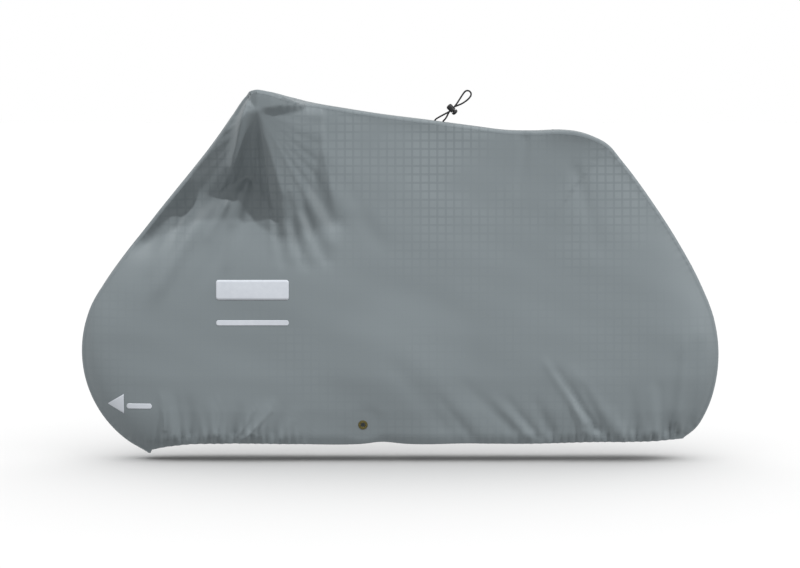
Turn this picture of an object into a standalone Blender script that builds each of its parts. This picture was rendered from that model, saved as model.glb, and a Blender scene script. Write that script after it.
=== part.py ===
# A fitted bicycle cover, empty, standing open as if it were still in use: two side
# panels, the strip sewn between them over the top, a brass eyelet low on each side, and
# an elastic cord loop with its lock on the top strip.
# Metres, +Z up. -X is the front, +X the rear, -Y the near side. The origin lies in the
# middle plane, just under the strip at the front peak, where the cover is held up.

import math

import bpy
import numpy as np

clothThickness = 0.0016
seamGap = 0.0003            # between the strip and each side panel
crownHeight = 0.0015        # of the strip, across its width
# A panel leaves the seam by swell and then turns down. radius is the height of that turn.
# It grows by spread, and its corner gets as full as fullPower, where the panel stands
# bulgeSpan or more off the seam.
edge = {"swell": 0.006, "radius": 0.010, "spread": 0.016, "bulgeSpan": 0.220,
        "power": 2.0, "fullPower": 4.5}

# The seam, in the middle plane. The nose is an arc.
nose = {"x": -0.2030, "z": -0.7560, "radius": 0.3360, "half": 0.030,
        "lowAngle": 245.0, "highAngle": 142.6, "points": 9}
# One row for each place from the top of the nose up the straight taut slope to the peak,
# and back to the lower rear corner. half is half the width of the strip there.
seamColumns = ("x", "z", "half")
seamRows = [
    (-0.4010, -0.4560, 0.030),
    (-0.3525, -0.3955, 0.031),
    (-0.3050, -0.3355, 0.032),
    (-0.2565, -0.2757, 0.033),
    (-0.2075, -0.2158, 0.034),
    (-0.1600, -0.1560, 0.034),
    (-0.1150, -0.0965, 0.035),
    (-0.0728, -0.0370, 0.035),
    (-0.0550, -0.0120, 0.035),
    (-0.0400, 0.0050, 0.035),
    (-0.0220, 0.0150, 0.035),
    (-0.0020, 0.0175, 0.035),
    (0.0180, 0.0150, 0.035),
    (0.0400, 0.0100, 0.035),
    (0.0700, 0.0020, 0.035),
    (0.1100, -0.0060, 0.035),
    (0.1750, -0.0190, 0.035),
    (0.2350, -0.0290, 0.035),
    (0.3540, -0.0478, 0.035),
    (0.498, -0.0660, 0.035),
    (0.642, -0.0850, 0.036),
    (0.730, -0.0960, 0.040),
    (0.816, -0.0980, 0.050),
    (0.900, -0.0960, 0.062),
    (0.940, -0.1000, 0.064),
    (0.990, -0.1150, 0.058),
    (1.030, -0.1360, 0.048),
    (1.076, -0.1880, 0.040),
    (1.167, -0.3100, 0.035),
    (1.245, -0.4300, 0.035),
    (1.311, -0.5510, 0.033),
    (1.354, -0.6600, 0.032),
    (1.368, -0.7600, 0.032),
    (1.361, -0.8450, 0.032),
    (1.336, -0.9300, 0.031),
    (1.300, -0.9900, 0.030),
    (1.266, -1.0170, 0.030),
]
peakX = 0.000               # the panel's upper corners on the seam
rearBreakX = 1.050
upperSeamZ = -0.400         # both of them lie above this
seamSteps = 160             # straight steps that stand for the seam in distances
seamSlopeStep = 0.0006      # part of the seam's length over which its slope is taken

# The hem, seen from the side.
hemColumns = ("x", "z")
hemRows = [
    (-0.342, -1.0530),
    (-0.285, -1.0390),
    (-0.225, -1.0310),
    (-0.100, -1.0270),
    (0.100, -1.0285),
    (0.300, -1.0275),
    (0.360, -1.0215),
    (0.425, -1.0270),
    (0.620, -1.0265),
    (0.820, -1.0275),
    (0.980, -1.0225),
    (1.120, -1.0215),
    (1.266, -1.0170),
]

# Half the depth of the hanging cloth at each height, away from the seam and the folds.
depthColumns = ("z", "half")
depthRows = [
    (0.020, 0.040),
    (-0.100, 0.047),
    (-0.300, 0.066),
    (-0.500, 0.084),
    (-0.700, 0.099),
    (-0.830, 0.104),
    (-0.930, 0.100),
    (-1.060, 0.086),
]
# The cloth nears its hanging depth over this distance from the seam.
hangRun = {"lowZ": -0.700, "highZ": -0.400, "low": 0.045, "high": 0.085}
hem = {"curl": 0.020, "height": 0.050, "steps": 400}

# The pointed bulge on each side at the peak. Seen from the side, reach is how far its
# slope runs in each direction: angle 0 is straight down, 90 to the rear.
horn = {"x": 0.002, "z": -0.044, "depth": 0.268, "round": 0.028, "fall": 1.35}
hornColumns = ("angle", "reach")
hornRows = [
    (-180.0, 0.110),
    (-128.0, 0.098),
    (-90.0, 0.090),
    (-62.0, 0.140),
    (-46.0, 0.270),
    (-31.0, 0.380),
    (-20.0, 0.310),
    (-9.0, 0.290),
    (3.0, 0.330),
    (15.0, 0.430),
    (28.0, 0.480),
    (44.0, 0.370),
    (60.0, 0.250),
    (88.0, 0.165),
    (120.0, 0.135),
    (180.0, 0.110),
]
knuckle = {"x": 0.414, "z": -0.790, "rise": 0.034, "reach": 0.210}

# Main folds, each a soft ridge (height above 0) or trough (below 0) from one place to
# another, with half its width and its height at both ends.
foldColumns = ("x0", "z0", "x1", "z1", "wide0", "wide1", "high0", "high1")
foldRows = [
    (-0.062, -0.060, -0.168, -0.228, 0.018, 0.024, -0.008, -0.008),
    (-0.040, -0.250, -0.096, -0.480, 0.020, 0.026, 0.012, 0.003),
    (-0.150, -0.330, -0.300, -0.560, 0.026, 0.030, 0.009, 0.004),
    (-0.040, -0.330, -0.160, -0.520, 0.030, 0.034, -0.008, -0.003),
    (-0.262, -0.365, -0.315, -0.500, 0.022, 0.026, 0.008, 0.003),
    (0.070, -0.060, 0.226, -0.370, 0.022, 0.026, -0.007, -0.010),
    (0.130, -0.070, 0.270, -0.320, 0.022, 0.026, 0.004, 0.006),
    (0.190, -0.190, 0.340, -0.410, 0.026, 0.030, -0.005, -0.003),
    (0.786, -0.125, 0.768, -0.260, 0.020, 0.024, -0.005, -0.002),
    (0.940, -0.225, 1.000, -0.430, 0.024, 0.030, -0.005, -0.002),
    (0.420, -0.820, 0.560, -0.985, 0.034, 0.036, -0.006, -0.008),
    (0.490, -0.800, 0.650, -0.980, 0.032, 0.034, 0.004, 0.007),
    (0.610, -0.850, 0.750, -0.985, 0.030, 0.030, -0.004, -0.009),
    (0.875, -0.815, 0.990, -0.975, 0.026, 0.028, -0.006, -0.014),
    (0.935, -0.820, 1.055, -0.975, 0.026, 0.028, 0.003, 0.008),
    (1.218, -0.985, 1.240, -0.790, 0.022, 0.024, -0.009, -0.003),
    (1.278, -0.965, 1.304, -0.750, 0.022, 0.024, -0.009, -0.003),
    (-0.278, -0.900, -0.266, -1.000, 0.024, 0.024, 0.003, 0.010),
    (-0.212, -0.915, -0.206, -0.995, 0.022, 0.024, -0.003, -0.010),
    (-0.146, -0.925, -0.142, -0.995, 0.024, 0.024, 0.003, 0.010),
    (-0.066, -0.930, -0.080, -0.995, 0.022, 0.024, -0.003, -0.010),
    (0.012, -0.925, -0.024, -0.995, 0.024, 0.024, 0.003, 0.010),
    (0.066, -0.930, 0.040, -0.995, 0.022, 0.024, -0.002, -0.008),
    (0.826, -0.915, 0.862, -0.990, 0.024, 0.026, -0.003, -0.010),
    (1.106, -0.890, 1.114, -0.985, 0.024, 0.026, -0.003, -0.011),
    (1.164, -0.880, 1.174, -0.985, 0.024, 0.026, 0.003, 0.010),
]

# Grid lines of a side panel: where each one starts on the hem and ends on the seam.
columnColumns = ("hem", "top")
columnRows = [
    (0.000, 0.000), (0.014, 0.013), (0.031, 0.030), (0.049, 0.049), (0.068, 0.070),
    (0.087, 0.092), (0.106, 0.116), (0.126, 0.141), (0.146, 0.168), (0.167, 0.197),
    (0.190, 0.228), (0.216, 0.260), (0.246, 0.294), (0.280, 0.330), (0.316, 0.368),
    (0.353, 0.406), (0.390, 0.444), (0.427, 0.480), (0.464, 0.514), (0.501, 0.548),
    (0.536, 0.580), (0.570, 0.611), (0.602, 0.640), (0.632, 0.668), (0.660, 0.695),
    (0.687, 0.721), (0.713, 0.746), (0.738, 0.770), (0.762, 0.793), (0.785, 0.815),
    (0.808, 0.837), (0.831, 0.858), (0.854, 0.879), (0.877, 0.899), (0.900, 0.918),
    (0.923, 0.937), (0.946, 0.956), (0.967, 0.974), (0.985, 0.988), (1.000, 1.000),
]
rowParts = [
    0.000, 0.012, 0.028, 0.078, 0.118, 0.158, 0.200, 0.242, 0.286, 0.332, 0.380,
    0.430, 0.485, 0.545, 0.605, 0.662, 0.716, 0.766, 0.812, 0.854, 0.892, 0.925,
    0.952, 0.972, 0.988, 1.000,
]
bandSteps = 4               # grid steps between the seam and the panel's own grid
stripSteps = 4

eyelet = {"x": 0.3036, "z": -0.9700, "hole": 0.0065, "barrel": 0.0078, "flange": 0.0140,
          "lip": 0.0013, "gap": 0.0003, "soft": 0.0006, "flatRadius": 0.040,
          "blend": 0.034, "slopeStep": 0.020, "cut": 0.010, "steps": 20}

# apart is each strand's distance from the middle plane inside the lock
cord = {"diameter": 0.0050, "apart": 0.0034, "step": 0.0056, "between": 20}
# The cord's route as x, y, z: out of the strip and through the lock, round an arc at the
# loop's end, and back through the lock into the strip.
cordOutRows = [
    (0.5186, 0.0000, -0.0656),
    (0.5205, -0.0001, -0.0632),
    (0.5250, -0.0006, -0.0599),
    (0.5322, -0.0015, -0.0558),
    (0.5415, -0.0025, -0.0508),
    (0.5512, -0.0032, -0.0456),
    (0.5612, -0.0034, -0.0405),
    (0.5688, -0.0034, -0.0332),
    (0.5764, -0.0033, -0.0259),
    (0.5838, -0.0027, -0.0162),
    (0.5905, -0.0016, -0.0060),
    (0.5963, -0.0006, 0.0034),
    (0.6013, -0.0001, 0.0110),
]
cordTip = {"x": 0.6152, "z": 0.0112, "radius": 0.0112, "firstAngle": 145.0,
           "lastAngle": -40.0, "points": 9}
cordBackRows = [
    (0.6197, 0.0001, -0.0010),
    (0.6148, 0.0006, -0.0057),
    (0.6086, 0.0013, -0.0106),
    (0.6016, 0.0019, -0.0152),
    (0.5942, 0.0026, -0.0191),
    (0.5860, 0.0032, -0.0221),
    (0.5764, 0.0034, -0.0259),
    (0.5688, 0.0034, -0.0332),
    (0.5612, 0.0034, -0.0405),
    (0.5572, 0.0028, -0.0478),
    (0.5539, 0.0017, -0.0551),
    (0.5499, 0.0006, -0.0616),
    (0.5455, 0.0001, -0.0660),
    (0.5430, 0.0000, -0.0687),
]
# The lock is turned about an axis that leans turn degrees down to the rear. place is
# measured along it. The button's stem runs in the body's pocket, and both keep gap when
# it is pressed in by its travel.
cordLock = {"x": 0.5699, "z": -0.0343, "turn": 46.0, "cordHole": 0.0029,
            "holePlace": -0.0016, "pocket": 0.0048, "pocketPlace": 0.0020, "gap": 0.0003,
            "travel": 0.0014, "cut": 0.014, "steps": 28}
lockColumns = ("radius", "place")
bodyRows = [
    (0.0000, -0.0178), (0.0047, -0.0175), (0.0078, -0.0160), (0.0092, -0.0132),
    (0.0095, -0.0100), (0.0090, -0.0055), (0.0086, -0.0010), (0.0087, 0.0035),
    (0.0083, 0.0052),
]
buttonRows = [
    (0.0083, 0.0069), (0.0093, 0.0086), (0.0093, 0.0118), (0.0076, 0.0148),
    (0.0045, 0.0162), (0.0000, 0.0166),
]


def columnsOf(names, rows):
    """Gives each named column of a table as an array."""
    values = np.array(rows, dtype=float)
    return {name: values[:, index] for index, name in enumerate(names)}


def easeBetween(place, places, values):
    """Goes from value to value with level ends, as t^2 (3 - 2t)."""
    index = np.clip(np.searchsorted(places, place, side="right") - 1, 0, len(places) - 2)
    t = (place - places[index]) / (places[index + 1] - places[index])
    return values[index] + (values[index + 1] - values[index]) * t * t * (3.0 - 2.0 * t)


def smoothThrough(points, parts):
    """Reads a smooth curve through the points at parts 0 to 1 of its length (cubic
    Hermite, each tangent from the two neighbours, chord lengths as parameter)."""
    points = np.asarray(points, dtype=float)
    chord = np.linalg.norm(np.diff(points, axis=0), axis=1)
    knots = np.concatenate([[0.0], np.cumsum(chord)])
    slope = np.gradient(points, knots, axis=0)
    place = np.asarray(parts, dtype=float) * knots[-1]
    index = np.clip(np.searchsorted(knots, place, side="right") - 1, 0, len(chord) - 1)
    width = chord[index]
    t = ((place - knots[index]) / width)[:, None]
    width = width[:, None]
    return ((2 * t**3 - 3 * t**2 + 1) * points[index]
            + (t**3 - 2 * t**2 + t) * width * slope[index]
            + (3 * t**2 - 2 * t**3) * points[index + 1]
            + (t**3 - t**2) * width * slope[index + 1])


def seamPlaces():
    """Gives the rows x, z, half along the whole seam, front hem corner first."""
    angles = np.radians(np.linspace(nose["lowAngle"], nose["highAngle"], nose["points"]))
    arc = np.stack([nose["x"] + nose["radius"] * np.cos(angles),
                    nose["z"] + nose["radius"] * np.sin(angles),
                    np.full(len(angles), nose["half"])], axis=1)
    return np.concatenate([arc, np.array(seamRows)])


def seamParts():
    """Gives the part of the seam's length at each place that a grid line meets it."""
    fine = np.linspace(0.0, 1.0, 25 * seamSteps + 1)
    curve = smoothThrough(seamPlaces(), fine)
    upper = curve[:, 1] > upperSeamZ
    peak = fine[upper][np.argmin(np.abs(curve[upper, 0] - peakX))]
    rearBreak = fine[upper][np.argmin(np.abs(curve[upper, 0] - rearBreakX))]
    rows = np.array(rowParts)
    top = columnsOf(columnColumns, columnRows)["top"]
    return np.concatenate([rows * peak, peak + top[1:] * (rearBreak - peak),
                           (1.0 - rows[::-1] * (1.0 - rearBreak))[1:]])


def seamFrame(parts):
    """Gives the seam's x, z, half and outward normal (x, z) at the given parts."""
    places = seamPlaces()
    here = smoothThrough(places, parts)
    ahead = smoothThrough(places, np.clip(parts + seamSlopeStep, 0.0, 1.0))
    behind = smoothThrough(places, np.clip(parts - seamSlopeStep, 0.0, 1.0))
    along = (ahead - behind)[:, :2]
    along /= np.linalg.norm(along, axis=1)[:, None]
    normal = np.stack([-along[:, 1], along[:, 0]], axis=1)
    # at the two hem corners the edge of the cloth runs along the hem
    normal[0] = (-1.0, 0.0)
    normal[-1] = (1.0, 0.0)
    return here, normal


def seamDistance(x, z):
    """Gives the distance from each place to the seam, and the strip's half width there."""
    line = smoothThrough(seamPlaces(), np.linspace(0.0, 1.0, seamSteps))
    start, step = line[:-1, :2], np.diff(line[:, :2], axis=0)
    place = np.stack([x.ravel(), z.ravel()], axis=1)[:, None, :]
    along = np.clip(((place - start) * step).sum(-1) / (step**2).sum(-1), 0.0, 1.0)
    gap = np.linalg.norm(place - start - along[..., None] * step, axis=-1)
    near = np.argmin(gap, axis=1)
    pick = np.arange(len(near))
    half = line[near, 2] + along[pick, near] * (line[near + 1, 2] - line[near, 2])
    return gap[pick, near].reshape(x.shape), half.reshape(x.shape)


def foldHeight(x, z):
    """Adds up the folds: each is height * exp(-(off / width)^2), with soft ends."""
    total = np.zeros_like(x)
    for x0, z0, x1, z1, wide0, wide1, high0, high1 in foldRows:
        length = math.hypot(x1 - x0, z1 - z0)
        alongX, alongZ = (x1 - x0) / length, (z1 - z0) / length
        t = ((x - x0) * alongX + (z - z0) * alongZ) / length
        off = (x - x0) * alongZ - (z - z0) * alongX
        inside = np.clip(t, 0.0, 1.0)
        wide = wide0 + (wide1 - wide0) * inside
        high = high0 + (high1 - high0) * inside
        past = (t - inside) * length
        total += high * np.exp(-(off / wide)**2 - (past / wide)**2)
    return total


def baseDepth(x, z):
    """Half depth of the cloth without bulges: from the seam's width towards the hanging
    width of that height, as 1 - exp(-distance / run)."""
    table = columnsOf(depthColumns, depthRows)
    hanging = np.interp(-z, -table["z"], table["half"])
    gap, half = seamDistance(x, z)
    run = np.interp(z, [hangRun["lowZ"], hangRun["highZ"]],
                    [hangRun["low"], hangRun["high"]])
    start = half + edge["swell"]
    return start + (hanging - start) * (1.0 - np.exp(-gap / run))


def sideDepth(x, z):
    """Half depth of the draped cloth at places of the side view."""
    depth = baseDepth(x, z)
    dx, dz = x - horn["x"], z - horn["z"]
    away = np.hypot(dx, dz)
    table = columnsOf(hornColumns, hornRows)
    reach = easeBetween(np.degrees(np.arctan2(dx, -dz)), table["angle"], table["reach"])
    far = (np.sqrt(away**2 + horn["round"]**2) - horn["round"]) / reach
    depth += (horn["depth"] - depth) * np.clip(1.0 - far, 0.0, 1.0)**horn["fall"]
    away = np.hypot(x - knuckle["x"], z - knuckle["z"]) / knuckle["reach"]
    depth += knuckle["rise"] * np.clip(1.0 - away**2, 0.0, 1.0)**2
    depth += foldHeight(x, z)
    rows = columnsOf(hemColumns, hemRows)
    above = np.clip((z - np.interp(x, rows["x"], rows["z"])) / hem["height"], 0.0, 1.0)
    gap, _ = seamDistance(x, z)
    inside = np.clip(gap / hem["height"], 0.0, 1.0)
    return depth - hem["curl"] * inside * (1.0 - above)**2


def eyeletPlane():
    """Gives the depth at the eyelet and its slopes along x and z."""
    small = eyelet["slopeStep"]
    x, z = eyelet["x"], eyelet["z"]
    at = sideDepth(np.array([x, x - small, x + small, x, x]),
                   np.array([z, z, z, z - small, z + small]))
    return at[0], (at[2] - at[1]) / (2 * small), (at[4] - at[3]) / (2 * small)


def clothDepth(x, z):
    """As sideDepth, but flat round the eyelet."""
    depth, slopeX, slopeZ = eyeletPlane()
    dx, dz = x - eyelet["x"], z - eyelet["z"]
    flat = depth + slopeX * dx + slopeZ * dz
    t = np.clip((np.hypot(dx, dz) - eyelet["flatRadius"]) / eyelet["blend"], 0.0, 1.0)
    mix = t * t * (3.0 - 2.0 * t)
    return flat * (1.0 - mix) + sideDepth(x, z) * mix


def panelSurface():
    """Gives points (side turned to +Y), quads and which points lie on the seam, with the
    outline's normal there. The middle is a Coons patch between the hem and a line just
    inside the seam. A band of superellipse arcs joins it to the seam."""
    seam, normal = seamFrame(seamParts())
    swell = clothDepth(seam[:, 0], seam[:, 1])
    bulge = np.clip((swell - seam[:, 2] - edge["swell"]) / edge["bulgeSpan"], 0.0, 1.0)
    radius = edge["radius"] + edge["spread"] * bulge
    power = edge["power"] + (edge["fullPower"] - edge["power"]) * bulge
    inner = seam[:, :2] - normal * radius[:, None]

    rows, table = np.array(rowParts), columnsOf(columnColumns, columnRows)
    up, across = len(rows) - 1, len(table["hem"]) - 1
    left, top = inner[:up + 1], inner[up:up + across + 1]
    right = inner[up + across:][::-1]
    bottom = smoothThrough(hemRows, np.linspace(0.0, 1.0, hem["steps"]))
    parts = np.interp(table["hem"], [0.0, 1.0], [left[0, 0], right[0, 0]])
    bottom = np.stack([parts, np.interp(parts, bottom[:, 0], bottom[:, 1])], axis=1)
    bottom[0], bottom[-1] = left[0], right[0]

    a = (0.5 * (table["hem"] + table["top"]))[None, :, None]
    b = rows[:, None, None]
    grid = ((1 - a) * left[:, None] + a * right[:, None]
            + (1 - b) * bottom[None] + b * top[None]
            - (1 - a) * (1 - b) * bottom[0] - a * (1 - b) * bottom[-1]
            - (1 - a) * b * top[0] - a * b * top[-1])
    x, z = grid[..., 0], grid[..., 1]
    points = np.stack([x, clothDepth(x, z), z], axis=-1).reshape(-1, 3)
    index = np.arange(len(points)).reshape(up + 1, across + 1)
    quads = np.stack([index[:-1, :-1], index[1:, :-1], index[1:, 1:], index[:-1, 1:]],
                     axis=-1).reshape(-1, 4)

    border = np.concatenate([index[:, 0], index[-1, 1:], index[::-1, -1][1:]])
    turn = np.radians(90.0) * np.arange(bandSteps)[None, :] / bandSteps
    out = np.sin(turn)**(2.0 / power[:, None])
    down = 1.0 - np.cos(turn)**(2.0 / power[:, None])
    depth = clothDepth(inner[:, 0], inner[:, 1])
    start = seam[:, 2] + seamGap / 2
    band = np.stack([
        seam[:, 0, None] - normal[:, 0, None] * radius[:, None] * down,
        start[:, None] + (depth - start)[:, None] * out,
        seam[:, 1, None] - normal[:, 1, None] * radius[:, None] * down], axis=-1)
    bandIndex = len(points) + np.arange(band.shape[0] * bandSteps).reshape(-1, bandSteps)
    ladder = np.concatenate([bandIndex, border[:, None]], axis=1)
    bandQuads = np.stack([ladder[:-1, :-1], ladder[1:, :-1], ladder[1:, 1:],
                          ladder[:-1, 1:]], axis=-1).reshape(-1, 4)
    points = np.concatenate([points, band.reshape(-1, 3)])
    return points, np.concatenate([quads, bandQuads]), bandIndex[:, 0], normal


def vertexNormals(points, quads):
    """Gives each point's normal, as the sum of its faces' area vectors."""
    first = points[quads[:, 2]] - points[quads[:, 0]]
    second = points[quads[:, 3]] - points[quads[:, 1]]
    area = np.cross(first, second)
    total = np.zeros_like(points)
    for corner in range(4):
        np.add.at(total, quads[:, corner], area)
    return total / np.linalg.norm(total, axis=1)[:, None]


def closedSheet(name, points, quads, normals, thickness):
    """Makes the solid between a surface and its copy one thickness further in. Each quad
    is split along its shorter diagonal, the same one in both copies."""
    count = len(points)
    steps = np.stack([quads, np.roll(quads, -1, axis=1)], axis=-1).reshape(-1, 2)
    known = {(int(a), int(b)) for a, b in steps}
    rim = sorted((a, b) for a, b in known if (b, a) not in known)
    cross = np.linalg.norm(points[quads[:, :2]] - points[quads[:, 2:]], axis=2)
    other = (cross[:, 1] < cross[:, 0])[:, None]
    quads = np.where(other, np.roll(quads, -1, axis=1), quads)
    triangles = np.concatenate([quads[:, [0, 1, 2]], quads[:, [0, 2, 3]]]).tolist()
    faces = triangles + [[v + count for v in face[::-1]] for face in triangles]
    faces += [(b, a, a + count, b + count) for a, b in rim]
    both = np.concatenate([points, points - normals * thickness])
    return meshObject(name, both, faces)


def meshObject(name, points, faces):
    """Makes an object from points and faces."""
    mesh = bpy.data.meshes.new(name)
    mesh.from_pydata([tuple(point) for point in points], [], faces)
    mesh.shade_smooth()
    mesh.validate()
    result = bpy.data.objects.new(name, mesh)
    bpy.context.collection.objects.link(result)
    return result


def turned(name, profile, steps, centre, axis):
    """Turns a profile of (radius, height) points about an axis. A profile that starts
    and ends at radius 0 closes at two poles, and any other one closes as a ring."""
    axis = np.array(axis) / np.linalg.norm(axis)
    side = np.cross(axis, (0.0, 0.0, 1.0) if abs(axis[2]) < 0.9 else (1.0, 0.0, 0.0))
    side /= np.linalg.norm(side)
    other = np.cross(axis, side)
    angles = np.radians(360.0) * np.arange(steps) / steps
    spoke = np.cos(angles)[:, None] * side + np.sin(angles)[:, None] * other
    profile = np.array(profile, dtype=float)
    poles = profile[0, 0] == 0.0
    rings = profile[1:-1] if poles else profile
    points = (np.array(centre) + rings[None, :, 1, None] * axis
              + rings[None, :, 0, None] * spoke[:, None, :]).reshape(-1, 3)
    count = len(rings)
    faces = []
    for i in range(steps):
        here, ahead = i * count, (i + 1) % steps * count
        for j in range(count - 1):
            faces.append((here + j, ahead + j, ahead + j + 1, here + j + 1))
        if poles:
            faces.append((steps * count, ahead, here))
            faces.append((steps * count + 1, here + count - 1, ahead + count - 1))
        else:
            faces.append((here + count - 1, ahead + count - 1, ahead, here))
    if poles:
        ends = np.array(centre) + profile[[0, -1], 1][:, None] * axis
        points = np.concatenate([points, ends])
    return meshObject(name, points, faces)


def cutWith(target, cutter, name):
    """Cuts a hidden shape out of an object."""
    cutter.hide_render = True
    cutter.display_type = "WIRE"
    cut = target.modifiers.new(name, "BOOLEAN")
    cut.operation = "DIFFERENCE"
    cut.object = cutter


def pin(name, radius, low, high, steps, centre, axis):
    """A plain cylinder, for cutting."""
    profile = [(0.0, low), (radius, low), (radius, high), (0.0, high)]
    return turned(name, profile, steps, centre, axis)


def finish(target, name, colour, roughness, metallic=0.0):
    """Gives an object its own Principled material."""
    material = bpy.data.materials.new(name)
    material.use_nodes = True
    shader = material.node_tree.nodes["Principled BSDF"]
    shader.inputs["Base Color"].default_value = (*colour, 1.0)
    shader.inputs["Roughness"].default_value = roughness
    shader.inputs["Metallic"].default_value = metallic
    target.data.materials.append(material)


def buildPanel(name, side):
    """A side panel with its hem, on the side -1 (near) or 1 (far)."""
    points, quads, seamPoints, normal = panelSurface()
    normals = vertexNormals(points, quads)
    normals[seamPoints] = np.stack([normal[:, 0], 0 * normal[:, 0], normal[:, 1]], axis=1)
    if side < 0:
        points, normals = points * (1, -1, 1), normals * (1, -1, 1)
        quads = quads[:, ::-1]
    panel = closedSheet(name, points, quads, normals, clothThickness)
    finish(panel, name, (0.235, 0.270, 0.290), 0.55)
    return panel


def buildStrip():
    """The long strip between the panels: up the nose, over the top and down the tail."""
    seam, normal = seamFrame(seamParts())
    share = np.linspace(-1.0, 1.0, stripSteps + 1)[None, :]
    half = (seam[:, 2] - seamGap / 2)[:, None]
    lift = crownHeight * (1.0 - share**2)
    points = np.stack([seam[:, 0, None] + normal[:, 0, None] * lift, half * share,
                       seam[:, 1, None] + normal[:, 1, None] * lift], axis=-1)
    index = np.arange(points.shape[0] * (stripSteps + 1)).reshape(-1, stripSteps + 1)
    quads = np.stack([index[:-1, :-1], index[1:, :-1], index[1:, 1:], index[:-1, 1:]],
                     axis=-1).reshape(-1, 4)
    normals = np.zeros_like(points)
    normals[..., 0], normals[..., 2] = normal[:, 0, None], normal[:, 1, None]
    strip = closedSheet("top_strip", points.reshape(-1, 3), quads,
                        normals.reshape(-1, 3), clothThickness)
    finish(strip, "top_strip", (0.250, 0.285, 0.305), 0.55)


def buildEyelet(name, panel, side):
    """A brass eyelet clenched round its hole in the panel, which is cut here too."""
    depth, slopeX, slopeZ = eyeletPlane()
    axis = np.array([-slopeX, 1.0, -slopeZ])
    axis /= np.linalg.norm(axis)
    centre = np.array([eyelet["x"], depth, eyelet["z"]]) - axis * clothThickness / 2
    axis, centre = axis * (1, side, 1), centre * (1, side, 1)
    inner = clothThickness / 2 + eyelet["gap"]
    outer = inner + eyelet["lip"]
    hole, barrel, flange = eyelet["hole"], eyelet["barrel"], eyelet["flange"]
    soft = eyelet["soft"]
    profile = [(hole, outer - soft), (hole, soft - outer), (hole + soft, -outer),
               (flange - soft, -outer), (flange, soft - outer), (flange, -inner),
               (barrel, -inner), (barrel, inner), (flange, inner),
               (flange, outer - soft), (flange - soft, outer), (hole + soft, outer)]
    ring = turned(name, profile, eyelet["steps"], centre, axis)
    finish(ring, name, (0.42, 0.29, 0.10), 0.35, 1.0)
    cutter = pin(name + "_cut", barrel + eyelet["gap"], -eyelet["cut"], eyelet["cut"],
                 eyelet["steps"], centre, axis)
    cutWith(panel, cutter, "eyelet_hole")


def cordRoute():
    """Gives the middle of the cord from end to end, at even steps: a uniform cubic
    B-spline over the rows, in which the first and the last one count three times."""
    angles = np.radians(np.linspace(cordTip["firstAngle"], cordTip["lastAngle"],
                                    cordTip["points"]))
    tip = np.stack([cordTip["x"] + cordTip["radius"] * np.cos(angles), 0.0 * angles,
                    cordTip["z"] + cordTip["radius"] * np.sin(angles)], axis=1)
    first, last = cordOutRows[:1] * 2, cordBackRows[-1:] * 2
    rows = np.concatenate([first, cordOutRows, tip, cordBackRows, last])
    t = (np.arange(cord["between"]) / cord["between"])[None, :, None]
    share = ((1 - t)**3 / 6, (3 * t**3 - 6 * t**2 + 4) / 6,
             (3 * t**2 - 3 * t**3 + 3 * t + 1) / 6, t**3 / 6)
    fine = sum(share[i] * rows[i:len(rows) - 3 + i, None, :] for i in range(4))
    fine = np.concatenate([fine.reshape(-1, 3), rows[-1:]])
    along = np.concatenate([[0.0], np.cumsum(np.linalg.norm(np.diff(fine, axis=0), axis=1))])
    places = np.linspace(0.0, along[-1], int(round(along[-1] / cord["step"])) + 1)
    return np.stack([np.interp(places, along, fine[:, axis]) for axis in range(3)], axis=1)


def buildCord():
    """The elastic cord: out of the strip, through the lock, round its loop and back."""
    route = cordRoute()
    data = bpy.data.curves.new("elastic_cord", "CURVE")
    data.dimensions = "3D"
    data.bevel_depth = cord["diameter"] / 2
    data.bevel_resolution = 2
    data.use_fill_caps = True
    line = data.splines.new("POLY")
    line.points.add(len(route) - 1)
    for point, place in zip(line.points, route):
        point.co = (*place, 1.0)
    result = bpy.data.objects.new("elastic_cord", data)
    bpy.context.collection.objects.link(result)
    finish(result, "elastic_cord", (0.012, 0.011, 0.010), 0.75)


def buildCordLock():
    """The cord lock: a barrel with two holes for the cord, and its push button."""
    steps = cordLock["steps"]
    centre = np.array([cordLock["x"], 0.0, cordLock["z"]])
    lean = math.radians(cordLock["turn"])
    axis = np.array([math.cos(lean), 0.0, -math.sin(lean)])
    along = np.array([math.sin(lean), 0.0, math.cos(lean)])
    pocket, low = cordLock["pocket"], cordLock["pocketPlace"]
    inside = [(pocket, bodyRows[-1][1]), (pocket, low), (0.0, low)]
    body = turned("cord_lock_body", bodyRows + inside, steps, centre, axis)
    for side, word in ((-1, "near"), (1, "far")):
        place = centre + axis * cordLock["holePlace"]
        place = place + np.array([0.0, side * cord["apart"], 0.0])
        hole = pin("lock_cut_" + word, cordLock["cordHole"], -cordLock["cut"],
                   cordLock["cut"], steps, place, along)
        cutWith(body, hole, "cord_hole_" + word)
    finish(body, "cord_lock_body", (0.011, 0.011, 0.012), 0.45)
    stem = pocket - cordLock["gap"]
    stemEnd = low + cordLock["gap"] + cordLock["travel"]
    stemRows = [(0.0, stemEnd), (stem, stemEnd), (stem, buttonRows[0][1])]
    button = turned("cord_lock_button", stemRows + buttonRows, steps, centre, axis)
    finish(button, "cord_lock_button", (0.011, 0.011, 0.012), 0.45)


def main():
    for item in list(bpy.data.objects):
        bpy.data.objects.remove(item)
    near = buildPanel("side_panel_near", -1)
    far = buildPanel("side_panel_far", 1)
    buildStrip()
    buildEyelet("eyelet_near", near, -1)
    buildEyelet("eyelet_far", far, 1)
    buildCord()
    buildCordLock()


main()
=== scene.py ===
# A fitted bicycle cover in its worn shape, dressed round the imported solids: two cloth
# panels and the strip between them with their hem, seams and stitching, reflective film,
# two brass eyelets, and an elastic cord loop with its lock.
# Metres, +Z up, -X the front, +X the rear, -Y the near side.

import math

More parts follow.
